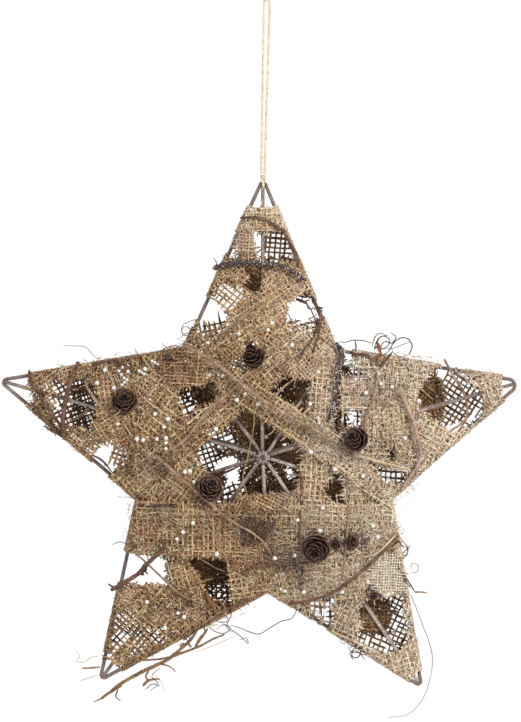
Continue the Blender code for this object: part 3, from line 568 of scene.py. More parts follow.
thinPlaces = rings("""
    213,285 240,282 246,300 228,312 211,297 / 195,318 228,318 226,335 196,336 / 288,322 318,322
    316,337 290,337 / 112,448 137,450 134,474 112,470 / 113,362 130,364 128,380 112,378 / 104,612
    138,615 132,642 104,662 / 130,626 168,622 165,652 128,660 / 208,583 234,583 232,602 210,602 /
    380,592 405,592 404,610 380,610 / 386,612 416,612 414,644 386,644 / 352,632 398,636 396,652
    354,654 / 376,466 408,466 406,484 378,484 / 340,410 362,410 362,427 340,427 / 352,368 372,368
    370,386 352,384 / 107,420 122,420 122,452 107,450 / 178,392 203,390 200,424 177,424 / 203,428
    236,425 238,446 203,448 / 194,450 216,450 216,470 194,470 / 220,484 246,486 246,500 220,500 /
    254,487 297,484 297,502 254,502 / 52,382 70,380 72,430 54,430 / 434,368 484,370 482,424 442,428
    436,398 / 264,232 292,232 300,262 264,264 / 448,420 462,420 458,436 444,436 / 310,598 338,598
    336,624 312,622""")


def treeOf(names):
    verts, faces = [], []
    for name in names:
        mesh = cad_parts[name].data
        faces += [[len(verts) + index for index in face.vertices] for face in mesh.polygons]
        verts += [vert.co.copy() for vert in mesh.vertices]
    return BVHTree.FromPolygons(verts, faces)


def probe(tree, x, z, side):  # what a look from one side meets; side -1 is the front, which faces -Y
    return tree.ray_cast(Vector((x, side * 0.2, z)), Vector((0.0, -side, 0.0)))


def clothDepth(tree, x, z, side):
    hit = probe(tree, x, z, side)[0]
    return None if hit is None or hit.y * side < -jute["hollow"] else hit.y


def crease(x, z):  # the slack of the cloth, the same through all layers so that they stay in order
    return sum(high * ripple(x * often, z * often, salt) for high, often, salt in jute["creases"])


def mainBearing(name, side):  # the way that a strip runs, by the spread of its faces on one side
    spots = np.array([(face.center.x, face.center.z, face.area)
                      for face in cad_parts[name].data.polygons
                      if face.normal.y * side > 0.3 and face.center.y * side > 0.0])
    if not len(spots):
        return 0.0
    weight = spots[:, 2:] / spots[:, 2].sum()
    offset = spots[:, :2] - (spots[:, :2] * weight).sum(0)
    axis = np.linalg.eigh((offset * weight).T @ offset)[1][:, -1]
    return math.degrees(math.atan2(axis[0], axis[1]))


def coveredPlace(point, side):  # no eye reaches the top yarns where another strip lies over them
    hit = probe(stripTree, point.x, point.z, side)[0]
    return (hit is not None and (hit.y - point.y) * side >= jute["covered"]
            and not within(point, thinPlaces + windows))


def gridOver(spots, bearing, pitch):  # a weave's two ways over some spots, their starts and counts
    along = starPoint(1.0, bearing)
    ways = (along, Vector((along.y, -along.x)))
    spans = [[Vector((spot.x, spot.z)).dot(way) for spot in spots] for way in ways]
    counts = [int((max(span) - min(span)) / pitch) + 2 for span in spans]
    return ways, [min(span) for span in spans], counts


def laidLattice(tree, name, side, bearing, ply, pitch, layer, salt, top):
    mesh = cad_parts[name].data
    (along, across), lows, counts = gridOver([vert.co for vert in mesh.vertices], bearing, pitch)
    startU, startV = [low + dice.random() * pitch for low in lows]
    slipsU, slipsV = [[dice.gauss(0.0, jute["wander"]) for _ in range(count)] for count in counts]
    stray = jute["stray"][min(ply, 1)]
    lattice, smooth = {}, {}
    for i, slipU in enumerate(slipsU):
        for j, slipV in enumerate(slipsV):
            point = (along * (startU + (i - 0.5) * pitch + slipU)
                     + across * (startV + (j - 0.5) * pitch + slipV))
            wave = waver(point.x * 30.0, point.y * 30.0, salt)
            fine = waver(point.x * 150.0, point.y * 150.0, salt + 5.0)
            x = point.x + jute["slip"] * wave.x + stray * fine.x
            z = point.y + jute["slip"] * wave.y + stray * fine.y
            depth = clothDepth(tree, x, z, side)
            if depth is None:
                continue
            room, spot = nearRim(x, z)[0], Vector((x, depth, z))
            thin = within(spot, thinPlaces)
            if (room < -(jute["rimBase"] + jute["rimStep"] * layer) * 0.8 or (thin and ply > 0)
                    or within(spot, bare + (holes if side > 0 else windows))
                    or (top and coveredPlace(spot, side))):
                continue
            depth -= side * (jute["hug"] * layer + jute["plyGap"] * ply)
            lattice[i, j] = (x, z, depth, room, thin)
    for (i, j), (x, z, depth, room, thin) in lattice.items():
        near = [lattice[other][2] for other in ((i - 1, j), (i + 1, j), (i, j - 1), (i, j + 1))
                if other in lattice]
        mean = (depth + sum(near)) / (1 + len(near))
        smooth[i, j] = (x, z, mean + side * crease(x, z), room, thin)
    return smooth, counts


def rimWrap(x, z, side, layer):  # the yarn goes on round the wire and lies on the other side
    _, foot, out = nearRim(x, z)
    lift = jute["rimBase"] + jute["rimStep"] * layer + dice.uniform(-0.0003, 0.0004)
    rim, way = onFrame(foot), Vector((out.x, 0.0, out.y))
    points = [rim + way * lift * reach + Vector((0.0, side * lift * rise, 0.0))
              for reach, rise in ((0.8, 0.62), (1.02, -0.25), (0.55, -0.95))]
    if dice.random() < 0.6:
        points.append(rim - way * dice.uniform(0.0005, 0.004)
                      + Vector((0.0, -side * (lift * 1.25 + 0.0004), 0.0)))
    return points


def frayedEnd(last, before):
    way = (last - before).normalized()
    long = dice.uniform(*jute["fray"]) if dice.random() < 0.95 else dice.uniform(0.005, 0.010)
    bend = anyWay(0.35)
    middle = last + way * long * 0.5
    return [middle, middle + (way + bend).normalized() * long * 0.5]


def yarnRun(cells, side, layer, yarn, tone):
    thick = yarn * dice.uniform(0.82, 1.18)
    points = [Vector((x, depth + side * (jute["over"] if up else -jute["over"]), z))
              for x, z, depth, _, _, up in cells]
    radii = [thick * dice.uniform(0.85, 1.15) * (jute["thinSwell"] if thin else 1.0)
             for _, _, _, _, thin, _ in cells]
    # Yarns in thin places are painted darker, a painted shade of yarn seen against the light behind.
    tones = [tone + (jute["thinShadeTone"] if thin else 0.0) for _, _, _, _, thin, _ in cells]
    for at, inner in ((-1, -2), (0, 1)):
        x, z, _, room, _, _ = cells[at]
        if room < jute["turnBack"]:
            more = rimWrap(x, z, side, layer)
        else:
            more = frayedEnd(points[at], points[inner])
        ends = [thick * 0.85] * (len(more) - 1) + [thick * 0.45]
        if at == 0:
            points, radii = more[::-1] + points, ends[::-1] + radii
            tones = tones[:1] * len(more) + tones
        else:
            points, radii = points + more, radii + ends
            tones = tones + tones[-1:] * len(more)
    return points, radii, tones


def weavePly(lattice, counts, side, layer, yarn, dense, tone):
    runs = []
    rows, lines = counts
    for warp in (True, False):
        for line in range(lines if warp else rows):
            shade = tone + dice.gauss(0.0, 0.12)
            cells = []
            for step in range((rows if warp else lines) + 1):
                key = (step, line) if warp else (line, step)
                cell = lattice.get(key)
                if cell is not None and dice.random() > jute["broken"]:
                    cells.append((*cell, (sum(key) % 2 == 0) == warp))
                    continue
                if dense:  # every other crossing is enough under the top ply
                    cells = cells[:1] + cells[1:-1:2] + cells[-1:] if len(cells) > 2 else []
                if len(cells) > 1:
                    runs.append(yarnRun(cells, side, layer, yarn, shade))
                cells = []
    return runs


def edgeRuns(tree, layer):  # yarns that the winding has dragged along the wire at the strip's edge
    runs, found = [], []
    lift = jute["rimBase"] + jute["rimStep"] * layer
    for number in range(10 * jute["rimStations"] + 1):
        station = number / jute["rimStations"]
        rim = outlineSpot(station, 1.0)
        edge = corners[(int(station) + 1) % 10] - corners[int(station) % 10]
        out = Vector((-edge.y, 0.0, edge.x)).normalized()
        here = tree.ray_cast(rim + out * 0.03, -out)[0]
        if (station < 10 and here is not None and (here - rim).length < jute["rimReach"]
                and not within(rim, bare)):
            found.append((rim, out))
            continue
        for turn in jute["rimTurns"] if len(found) > 2 else ():
            wander = dice.uniform(0.0, 40.0)
            points = []
            for index, (foot, way) in enumerate(found):
                swing = math.radians(turn + 26.0 * ripple(index * 0.19, wander, 0.5))
                reach = lift * (1.0 + 0.10 * ripple(index * 0.5, wander, 7.0))
                points.append(foot + way * reach * math.cos(swing)
                              + Vector((0.0, reach * math.sin(swing), 0.0)))
            radius = jute["rimYarn"] * dice.uniform(0.8, 1.25)
            runs.append((points, [radius] * len(points), dice.gauss(0.5, 0.1)))
        found = []
    return runs


def clothArea(runs, pitch):  # yarns that cross at this pitch cover half their length times it
    return sum(lengthsAlong(points)[-1] for points, _, _ in runs) * pitch / 2


def weaveStrip(name, layer, front, back, bearing, shade, salt):
    tree, runs, area = treeOf([name]), [], 0.0
    for side, plies in ((-1.0, front), (1.0, back)):
        own = mainBearing(name, side) if bearing is None else bearing
        for ply in range(plies):
            dense = ply > 0 and ply == plies - 1
            turn = own + dice.choice((-1, 1)) * (dice.uniform(*jute["denseTurn"]) if dense
                                                 else ply * dice.uniform(*jute["plyTurn"]))
            # Painted light: the strip's paleness from the table.
            # Painted shade: the back, the dense bottom ply and each deeper ply are darker.
            tone = (shade + jute["frontTone" if side < 0 else "backShadeTone"]
                    - (jute["denseShadeTone"] if dense else jute["plyShadeTone"] * ply))
            pitch, yarn = jute["dense" if dense else "open"]
            lattice, counts = laidLattice(tree, name, side, turn, ply, pitch, layer,
                                          salt + ply * 3.1 + (side + 1) * 7.7, not dense)
            more = weavePly(lattice, counts, side, layer, yarn, dense, tone)
            area += clothArea(more, pitch)
            runs += more
    piece = tubePiece(name + "_weave", runs + edgeRuns(tree, layer), "jute", [name])


stripTree = treeOf(list(strips))
stripOf = [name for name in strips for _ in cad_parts[name].data.polygons]
for number, (name, row) in enumerate(strips.items()):
    weaveStrip(name, *row, 10.0 + number * 13.7)
print("jute woven")

# Torn scraps tucked between the strips, behind the windows or over a gap: outline in pixels, side,
# bearing, plies, tone and kind of cloth, which has its pitch and yarn
cloths = {"dark": (0.0027, 0.00066), "patch": (0.0026, 0.00064), "open": (0.0038, 0.00088),
          "arm": (0.0028, 0.00068), "matted": (0.0024, 0.00058), "gauze": (0.0021, 0.00040)}
torn = {"lift": 0.0012, "plyLift": 0.0010, "plyTurn": 31.0, "slip": 0.0009, "sag": 0.006}
scraps = {
    # The dark scraps behind the windows are dark cloth that paints the shade inside the star.
    "arm_window_scrap": ("408,378 424,372 443,380 444,402 440,424 424,422 412,408",
        1.0, 20.0, 3, 0.4, "dark"),
    "low_window_scrap": ("354,598 376,594 388,602 392,614 388,628 372,634 356,628",
        1.0, 35.0, 3, 0.38, "dark"),
    "dark_window_scrap": ("180,552 232,552 233,572 216,585 200,588 182,572",
        1.0, 10.0, 3, 0.36, "dark"),
    "top_window_scrap": ("240,262 266,260 266,294 244,294", 1.0, 70.0, 3, 0.34, "dark"),
    "diamond_scrap": ("316,476 348,476 348,504 316,504", 1.0, 48.0, 3, 0.36, "dark"),
    "edge_window_scrap": ("380,434 400,434 400,468 380,468", 1.0, 20.0, 3, 0.36, "dark"),
    "left_window_scrap": ("196,378 226,378 226,404 198,410", 1.0, 60.0, 3, 0.36, "dark"),
    "left_valley_scrap": ("158,350 190,346 212,362 213,376 200,386 182,388 166,380",
        -1.0, 62.0, 2, 0.5, "patch"),
    "cone_side_scrap": ("220,350 240,342 256,352 256,378 236,384 220,370", -1.0, 18.0, 2, 0.5, "patch"),
    "left_hole_scrap": ("110,446 122,443 136,450 134,474 119,476 112,464", -1.0, 20.0, 1, 0.26, "open"),
    "tip_fold_scrap": ("237,232 249,231 259,262 244,264 235,250", -1.0, -28.0, 2, 0.48, "patch"),
    "middle_window_scrap": ("246,486 300,480 303,508 246,508", 1.0, 84.0, 3, 0.34, "dark"),
    "window_sill_scrap": ("234,493 262,495 304,491 306,510 234,510", -1.0, 88.0, 2, 0.5, "patch"),
    "window_top_scrap": ("288,362 316,354 317,378 303,381 290,378", -1.0, 20.0, 2, 0.56, "patch"),
    "left_arm_scrap": ("92,420 108,414 128,416 130,440 120,447 104,444 92,434",
        -1.0, 28.0, 2, 0.52, "arm"),
    "matted_middle": ("236,522 262,517 278,526 272,541 246,543", -1.0, 30.0, 1, 0.1, "matted"),
    "matted_low": ("262,548 284,544 300,550 304,566 282,573 266,568", -1.0, 12.0, 1, 0.12, "matted"),
    "pale_gauze": ("368,556 386,553 405,556 409,590 390,593 372,590", -1.0, 3.0, 1, 0.6, "gauze"),
}


def scrapPlane(ring, side):  # the level of the strips that a scrap lies on, carried on over its gaps
    rows, carriers = [], set()
    for (px, py), (nx, ny) in zip(ring, ring[1:] + ring[:1]):
        for share in (0.0, 0.33, 0.66):
            spot = pixelAt(px + (nx - px) * share, py + (ny - py) * share, side * 0.02)
            hit, _, face, _ = probe(stripTree, spot.x, spot.z, side)
            if hit is not None and hit.y * side > -jute["hollow"]:
                rows.append((1.0, spot.x, spot.z, hit.y))
                carriers.add(stripOf[face] + "_weave")
    data = np.array(rows)
    return np.linalg.lstsq(data[:, :3], data[:, 3], rcond=None)[0], sorted(carriers)


def scrapLattice(level, ring, side, bearing, pitch, lift):
    spots = [pixelAt(px, py, side * 0.02) for px, py in ring]
    (along, across), (lowU, lowV), counts = gridOver(spots, bearing, pitch)
    lattice = {}
    for i in range(counts[0]):
        for j in range(counts[1]):
            point = along * (lowU + i * pitch) + across * (lowV + j * pitch)
            wave = waver(point.x * 120.0, point.y * 120.0, bearing)
            x, z = point.x + torn["slip"] * wave.x, point.y + torn["slip"] * wave.y
            depth = float(level[0] + level[1] * x + level[2] * z)
            found = clothDepth(stripTree, x, z, side)
            if found is not None and abs(found - depth) < torn["sag"]:
                depth = found
            depth -= lift
            room = nearRim(x, z)[0]
            if within(Vector((x, depth, z)), [ring]) and room > 0.0:
                lattice[i, j] = (x, z, depth + crease(x, z), max(room, 1.5 * jute["open"][0]), False)
    return lattice, counts


for name, (outline, side, bearing, plies, tone, kind) in scraps.items():
    runs, ring, (pitch, yarn) = [], pairs(outline), cloths[kind]
    level, carriers = scrapPlane(ring, side)
    for ply in range(plies):
        lattice, counts = scrapLattice(level, ring, side, bearing + ply * torn["plyTurn"], pitch,
                                       torn["lift"] + torn["plyLift"] * ply)
        runs += weavePly(lattice, counts, side, 0, yarn, False, tone)
    piece = tubePiece(name, runs, "bleached" if kind == "gauze" else "jute")


# Where things lie on the strips
def sightHit(px, py):  # where the line of sight through a pixel meets the strips
    return stripTree.ray_cast(eye, (pixelAt(px, py, 0.0) - eye).normalized())[0]


def sightDepth(px, py):
    hit = sightHit(px, py)
    return min(hit.y, 0.0) if hit is not None else 0.0


def onFront(px, py, lift):
    return pixelAt(px, py, sightDepth(px, py) - lift)


def flatRoute(pixels, depth, step=2.0):
    return [pixelAt(point.x, point.y, depth)
            for point in smoothRoute([Vector((px, py, 0.0)) for px, py in pixels], step)]


def laidRoute(pixels, lift, give, step=2.0):
    # a stem bends over the bumps under it; its give is the steepest slope that it takes
    flat = smoothRoute([Vector((px, py, 0.0)) for px, py in pixels], step)
    depths = [sightDepth(point.x, point.y) for point in flat]
    slope = give * step * photo["pixel"]
    level = [min(depth + slope * abs(index - other) for other, depth in enumerate(depths))
             for index in range(len(flat))]
    return [pixelAt(point.x, point.y, depth - lift) for point, depth in zip(flat, level)]


def solidRoute(name, route):  # along the middle of a twig's own CAD solid
    tree, points = treeOf([name]), []
    for point in smoothRoute([outlineSpot(*at) for at in pairs(route)], 0.0012):
        first, last = (probe(tree, point.x, point.z, side)[0] for side in (-1.0, 1.0))
        if first is not None and last is not None:
            points.append(Vector((point.x, (first.y + last.y) / 2, point.z)))
    return points


def evened(points, passes):
    for _ in range(passes):
        points = [points[0]] + [(a + b * 2 + c) / 4 for a, b, c in
                                zip(points, points[1:], points[2:])] + [points[-1]]
    return points


def barkRun(points, radii, tone, knots, kink, salt):  # one stem with its bumps and kinks
    path, girth = [], []
    for index, (point, at) in enumerate(zip(points, lengthsAlong(points))):
        share = index / max(1, len(points) - 1)
        ends = radii[0] + (radii[2] - radii[0]) * share
        bulge = (radii[1] - (radii[0] + radii[2]) / 2) * 4 * share * (1 - share)
        bump = ripple(at * 340.0, salt, 0.5) + 0.6 * ripple(at * 900.0, salt, 3.5)
        path.append(point + waver(at * 120.0, salt, 9.1) * kink)
        girth.append((ends + bulge) * max(0.45, 1.0 + knots * bump))
    girth[0] *= 0.7
    girth[-1] *= 0.6
    return path, girth, tone


def stubRuns(path, girth, count, length):  # short snapped side shoots
    runs = []
    for _ in range(count):
        at = dice.randrange(1, len(path) - 1)
        ahead = (path[at + 1] - path[at - 1]).normalized()
        side = ahead.cross(Vector((0.0, 1.0, 0.0))).normalized() * dice.choice((-1, 1))
        way = side + ahead * dice.uniform(-0.3, 0.9) + Vector((0.0, -dice.uniform(0.0, 0.8), 0.0))
        long = dice.uniform(*length)
        radius = girth[at] * dice.uniform(0.5, 0.85)
        way = way.normalized() * long
        bend = anyWay(0.2) * long
        runs.append(([path[at], path[at] + way * 0.55 + bend, path[at] + way],
                     [radius, radius * 0.85, radius * 0.55], 0.45))
    return runs


def makeTwig(name, points, surface, radii, knots, kink, stubs, shoot, stands=(), sides=8, more=()):
    salt = dice.uniform(0.0, 90.0)
    stem = barkRun(points, radii, 0.5, knots, kink, salt)
    runs = [stem] + stubRuns(stem[0], stem[1], stubs, shoot)
    runs += [barkRun(branch, sizes, 0.5, knots, kink, salt + 7.0) for branch, sizes in more]
    mesh = tubeMesh(name, runs, sides)
    mesh.update()
    normals = [vert.normal.copy() for vert in mesh.vertices]
    for vert, normal in zip(mesh.vertices, normals):  # furrows and flakes of the bark itself
        spot = vert.co * 900.0
        vert.co += normal * radii[1] * 0.10 * (noise.noise(spot) + 0.5 * noise.noise(spot * 2.3))
    return finishPiece(mesh, name, surface, stands)


def hundredths(values):  # hundredths of a millimetre as metres
    return [value / 100000 for value in values]


# Stems that have a solid of their own: surface, radii at the ends and middle, knottiness, kinks,
# number and length of side shoots, and route as in the solid model
stems = {
    "knobbly_vine_top": ("dark", (180, 160, 140), 0.5, 0.0005, 26, (0.0012, 0.0028),
        "9.40,1.07 9.58,0.94 9.98,0.70 0.34,0.86 0.60,1.00"),
    "knobbly_vine_right": ("dark", (190, 140, 90), 0.5, 0.0006, 22, (0.0012, 0.003),
        "0.98,1.03 1.05,0.97 1.13,0.77 1.27,0.58 1.49,0.40"),
    "long_twig": ("tan", (120, 160, 100), 0.18, 0.0005, 4, (0.002, 0.006),
        "9.01,1.03 9.14,0.73 9.51,0.34 0.84,0.33 2.14,0.29"),
    "left_twig": ("tan", (100, 120, 90), 0.18, 0.0005, 4, (0.002, 0.005),
        "7.42,0.54 7.76,0.34 8.78,0.46 9.18,0.48 9.61,0.40"),
    "right_vine": ("pink", (130, 160, 120), 0.08, 0.0002, 0, (0.001, 0.002),
        "1.54,0.77 1.98,0.57 2.48,0.79 2.69,0.93 2.90,1.00"),
    "lower_twig": ("tan", (110, 100, 80), 0.18, 0.0005, 4, (0.002, 0.006),
        "7.39,0.60 6.82,0.48 5.60,0.33 5.09,0.55 4.95,0.69"),
    "lower_right_vine": ("red", (100, 120, 90), 0.18, 0.0005, 3, (0.002, 0.005),
        "4.87,1.01 4.47,0.74 3.57,0.72 3.18,1.03"),
    "flat_left_twig": ("red", (160, 180, 140), 0.12, 0.0004, 1, (0.002, 0.004),
        "8.48,1.05 8.13,0.81 7.73,0.88 7.50,1.02"),
    "lower_left_twig": ("red", (150, 180, 150), 0.22, 0.0005, 5, (0.002, 0.006),
        "6.51,0.68 6.51,0.79 6.49,0.85 6.52,0.96 6.55,1.07"),
}
for name, (surface, radii, knots, kink, stubs, shoot, route) in stems.items():
    points = evened(solidRoute(name, route), 6)
    makeTwig(name + "_stem", points, surface, hundredths(radii), knots, kink, stubs, shoot, [name])

# The forked twig below the lower left arm: its main stem, then its limbs, as pixels and radii
fork = {"depth": -0.013, "step": 0.0004, "limbs": (
    ("110,692 124,682 140,673 170,658 190,640 197,631", (130, 140, 90)),
    ("170,658 184,652 195,648 210,641 225,634", (100, 90, 60)),
    ("101,699 112,691 122,685", (100, 110, 100)),
    ("195,648 199,641 203,635 208,628", (80, 120, 60)),
    ("158,664 165,665 172,668 175,672", (80, 60, 40)),
    ("143,686 148,681 155,679 160,679", (100, 90, 50)),
    ("148,681 146,676 149,671", (80, 70, 60)),
    ("128,658 142,660 158,659 170,657", (70, 80, 60)),
    ("104,696 99,700 93,702", (60, 50, 30)),
    ("118,690 116,697 121,701", (60, 50, 30)),
)}
(mainStem, *limbs) = [(pairs(pixels), hundredths(radii)) for pixels, radii in fork["limbs"]]
makeTwig("forked_twig", flatRoute(mainStem[0], fork["depth"]), "brown", mainStem[1], 0.20, 0.0005, 7,
         (0.002, 0.005), ["branching_twig"],
         more=[(flatRoute(pixels, fork["depth"] + fork["step"] * number), radii)
               for number, (pixels, radii) in enumerate(limbs)])
print("stems over their solids done")

# More stems as the photograph shows them: surface, radii, lift off the cloth, give, knottiness,
# side shoots and pixels along each. Radii and lift are in hundredths of a millimetre
extraStems = {
    "tip_vine": ("red", (90, 120, 90), 100, 0.5, 0.15, 1,
        "240,218 255,217 265,220 275,226 283,232 290,243 298,258 298,268"),
    "bottom_vine": ("red", (90, 120, 90), 100, 0.3, 0.2, 3, "240,573 262,565 285,564 305,563 320,560"),
    "knobbly_vine_left": ("dark", (90, 100, 70), 100, 0.3, 0.5, 5, "146,507 160,505 175,508"),
    "dark_stub_top": ("dark", (140, 130, 100), 60, 0.6, 0.3, 1, "296,299 302,301 308,304"),
    "rough_valley_twig": ("red", (110, 150, 90), 80, 0.6, 0.5, 8,
        "312,299 317,307 321,315 319,325 317,334"),
    "fold_twig": ("tan", (80, 110, 80), 80, 0.4, 0.15, 1, "262,302 250,311 240,319 222,334"),
    "left_tip_twig": ("red", (110, 130, 80), 100, 0.5, 0.35, 5, "29,370 31,384 38,390 45,405 62,428"),
    "left_tan_twig": ("tan", (90, 110, 80), 120, 0.5, 0.15, 0, "72,421 80,416 90,409"),
    "left_yellow_twig": ("tan", (100, 120, 90), 120, 0.5, 0.15, 1, "85,381 88,389 95,400 103,410"),
    "left_edge_vine": ("red", (100, 120, 80), 100, 0.5, 0.4, 3, "45,426 54,432 63,436"),
    "left_arc_vine": ("red", (80, 110, 70), 120, 0.5, 0.2, 2,
        "92,367 95,365 105,361 115,359 122,363 135,372"),
    "thin_middle_twig": ("tan", (60, 80, 50), 100, 0.5, 0.15, 0, "222,361 232,352 242,344"),
    "fold_edge_twig": ("tan", (70, 90, 70), 100, 0.5, 0.15, 1,
        "270,403 276,395 283,388 291,381 299,374"),
    "pale_thin_twig": ("tan", (60, 70, 50), 100, 0.5, 0.2, 0, "333,390 333,398 330,408 326,420"),
    "brown_arc_twig": ("red", (100, 120, 80), 140, 0.5, 0.2, 1,
        "352,354 358,354 365,354 372,358 381,366"),
    "brown_short_twig": ("red", (80, 100, 70), 140, 0.5, 0.2, 0, "381,367 386,360 392,352"),
    "orange_bark_knot": ("orange", (120, 160, 90), 140, 0.6, 0.5, 6, "377,343 380,350 381,356 378,363"),
    "pale_right_twig": ("tan", (80, 100, 70), 140, 0.4, 0.15, 1,
        "377,372 376,390 371,405 366,420 364,447"),
    "short_right_twig": ("tan", (60, 80, 60), 100, 0.5, 0.15, 0, "382,400 385,404 387,408"),
    "cream_twig": ("cream", (90, 110, 80), 120, 0.4, 0.12, 1,
        "358,456 370,459 385,463 400,467 410,469"),
    "cream_cross_twig": ("tan", (90, 100, 90), 100, 0.3, 0.12, 1, "300,425 325,439 345,452 358,458"),
    "thin_red_vine_left": ("red", (60, 80, 60), 80, 0.5, 0.2, 2,
        "318,325 314,337 308,346 303,352 298,365"),
    "thin_red_vine_right": ("red", (50, 70, 40), 80, 0.5, 0.2, 1,
        "321,322 318,338 313,352 309,368 305,376"),
    "tan_arm_vine": ("tan", (90, 110, 80), 80, 0.5, 0.15, 2,
        "444,359 450,370 458,383 465,395 467,410 465,420 450,432"),
    "lower_left_thin_twig": ("tan", (60, 80, 60), 100, 0.4, 0.15, 1,
        "134,552 150,566 162,578 175,590 190,600"),
    "dark_joint": ("dark", (160, 200, 120), 300, 0.6, 0.4, 5, "138,573 143,571 147,568"),
    "orange_low_vine": ("orange", (80, 120, 80), 100, 0.5, 0.2, 1, "206,590 209,599 212,604 217,612"),
    "tan_corner_stub": ("straw", (70, 90, 80), 40, 0.5, 0.2, 0, "82,668 91,668 100,667"),
    "double_dark_stem": ("dark", (50, 60, 50), 80, 0.6, 0.3, 2, "402,572 407,579 411,586 415,592"),
    "dark_edge_stem": ("red", (40, 50, 40), 100, 0.6, 0.3, 2, "398,566 404,578 410,588"),
    "pale_edge_stub": ("straw", (90, 80, 60), 100, 0.6, 0.2, 0, "415,592 421,592 427,593"),
    "vine_pair_right": ("red", (50, 80, 60), 80, 0.4, 0.25, 3, "300,470 302,495 300,520 300,545"),
    "long_pale_right": ("tan", (50, 70, 50), 80, 0.4, 0.15, 1, "352,480 348,520 345,555 342,580"),
    "lower_left_wire_twig": ("red", (70, 100, 70), 60, 0.4, 0.3, 6, "183,640 205,625 230,608 262,594"),
    "left_low_vine": ("red", (70, 90, 70), 100, 0.5, 0.3, 2, "31,402 40,414 48,425 57,433 66,440"),
    "left_low_vine_end": ("red", (70, 90, 60), 100, 0.5, 0.3, 1, "92,455 100,459 106,465 112,472"),
    "second_knot": ("red", (80, 130, 80), 120, 0.6, 0.5, 4, "160,541 164,545 163,551"),
    "neck_knot": ("red", (80, 120, 80), 100, 0.6, 0.5, 3, "131,541 133,545 132,550"),
    "pale_vine_end": ("cream", (80, 110, 90), 200, 0.5, 0.15, 1, "372,556 380,551 388,543 397,534"),
    "mid_left_thin": ("tan", (50, 60, 40), 80, 0.4, 0.2, 1, "205,505 212,525 219,545 228,560"),
}
for name, (surface, radii, lift, give, knots, stubs, pixels) in extraStems.items():
    radii = hundredths(radii)
    points = laidRoute(pairs(pixels), lift / 100000 + radii[1], give)
    makeTwig(name, points, surface, radii, knots, 0.0004, stubs, (0.0015, 0.005), sides=6)
print("more stems done")

# Frame wires, wound with thin grey-brown paper tape, and the welds where they meet
wire = {"radius": 0.0015, "span": 0.004, "valleyBend": 0.004, "weld": 0.0022,
        "tipBends": (0.0022, 0.0050, 0.0022, 0.0022, 0.0028)}


def woundRun(points, radius, tone):  # the tape's edge shows as a low ridge that winds round
    path, girth = [], []
    for point, at in zip(points, lengthsAlong(points)):
        path.append(point + waver(at * 30.0, tone * 50.0, 2.2) * 0.00015)
        girth.append(radius * (0.99 + 0.05 * ripple(at * 500.0, tone * 31.0, 1.0)))
    return path, girth, tone


def bendAt(index):  # the ways along both sides of a corner, half their angle and the bend's radius
    before, after = ((corners[other % 10] - corners[index]).normalized()
                     for other in (index - 1, index + 1))
    bend = wire["valleyBend"] if index % 2 else wire["tipBends"][index // 2]
    return before, after, before.angle(after) / 2, bend


def outlinePath():
    points = []
    for index, corner in enumerate(corners):
        before, after, half, bend = bendAt(index)
        centre = corner + (before + after).normalized() * (bend / math.sin(half))
        start = corner + before * (bend / math.tan(half)) - centre
        sweep = (math.pi - 2 * half) * (-1 if before.cross(after) > 0 else 1)
        for step in range(7):
            turn = sweep * step / 6
            points.append(onFrame(centre + Vector((
                start.x * math.cos(turn) - start.y * math.sin(turn),
                start.x * math.sin(turn) + start.y * math.cos(turn)))))
    return points


def split(start, end, least):  # the points of a straight wire, without its end
    parts = max(least, round((end - start).length / wire["span"]))
    return [start.lerp(end, part / parts) for part in range(parts)]


def makeWires():
    ring, fine = outlinePath(), []
    for start, end in zip(ring, ring[1:] + ring[:1]):
        fine += split(start, end, 1)
    tubePiece("outline_wire_wound", [woundRun(fine + fine[:2], wire["radius"], 0.5)], "grey",
              ["outline_wire"], 10)
    for name in sorted(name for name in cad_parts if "spoke" in name):
        verts = [vert.co.copy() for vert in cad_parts[name].data.vertices]
        apex = Vector((hub.x, star["hubRise"] * (-1.0 if name.startswith("front") else 1.0), hub.z))
        verts.sort(key=lambda co: (co - apex).length)
        near, far = sum(verts[:8], Vector()) / 8, sum(verts[-8:], Vector()) / 8
        if "tip" in name:  # its end is welded into the bend of the outline
            index = 2 * int(name[-1]) - 2
            before, after, half, bend = bendAt(index)
            inner = corners[index] + (before + after).normalized() * (
                bend * (1.0 / math.sin(half) - 1.0) + wire["radius"])
            far = onFrame(inner, far.y * 0.2)
        path = split(near, far, 2) + [far]
        tubePiece(name + "_wound", [woundRun(path, wire["radius"] * 0.92, dice.uniform(0.5, 0.75))],
                  "grey", [name], 10)


def makeWeld(name, side, every):  # flattened wire ends under a small bead of weld
    apex = Vector((hub.x, side * star["hubRise"], hub.z))
    runs = []
    for corner in corners[::every]:
        way = (onFrame(corner) - apex).normalized()
        runs.append(([apex + way * at for at in (0.0006, 0.0030, 0.0054)],
                     [0.0008, 0.0011, 0.0013], 0.6))
    work = bmesh.new()
    work.from_mesh(tubeMesh(name + "_weld", runs, 8))
    for vert in bmesh.ops.create_icosphere(work, subdivisions=3, radius=wire["weld"])["verts"]:
        lump = 1.0 + 0.25 * noise.noise(vert.co * 700.0)
        vert.co = apex + Vector((vert.co.x * lump, vert.co.y * 0.55 * lump, vert.co.z * lump))
    work.normal_update()
    finishPiece(meshFrom(work, name + "_weld"), name + "_weld", "grey", [name])


makeWires()
makeWeld("front_hub", -1.0, 1)
makeWeld("back_hub", 1.0, 2)
print("wires done")

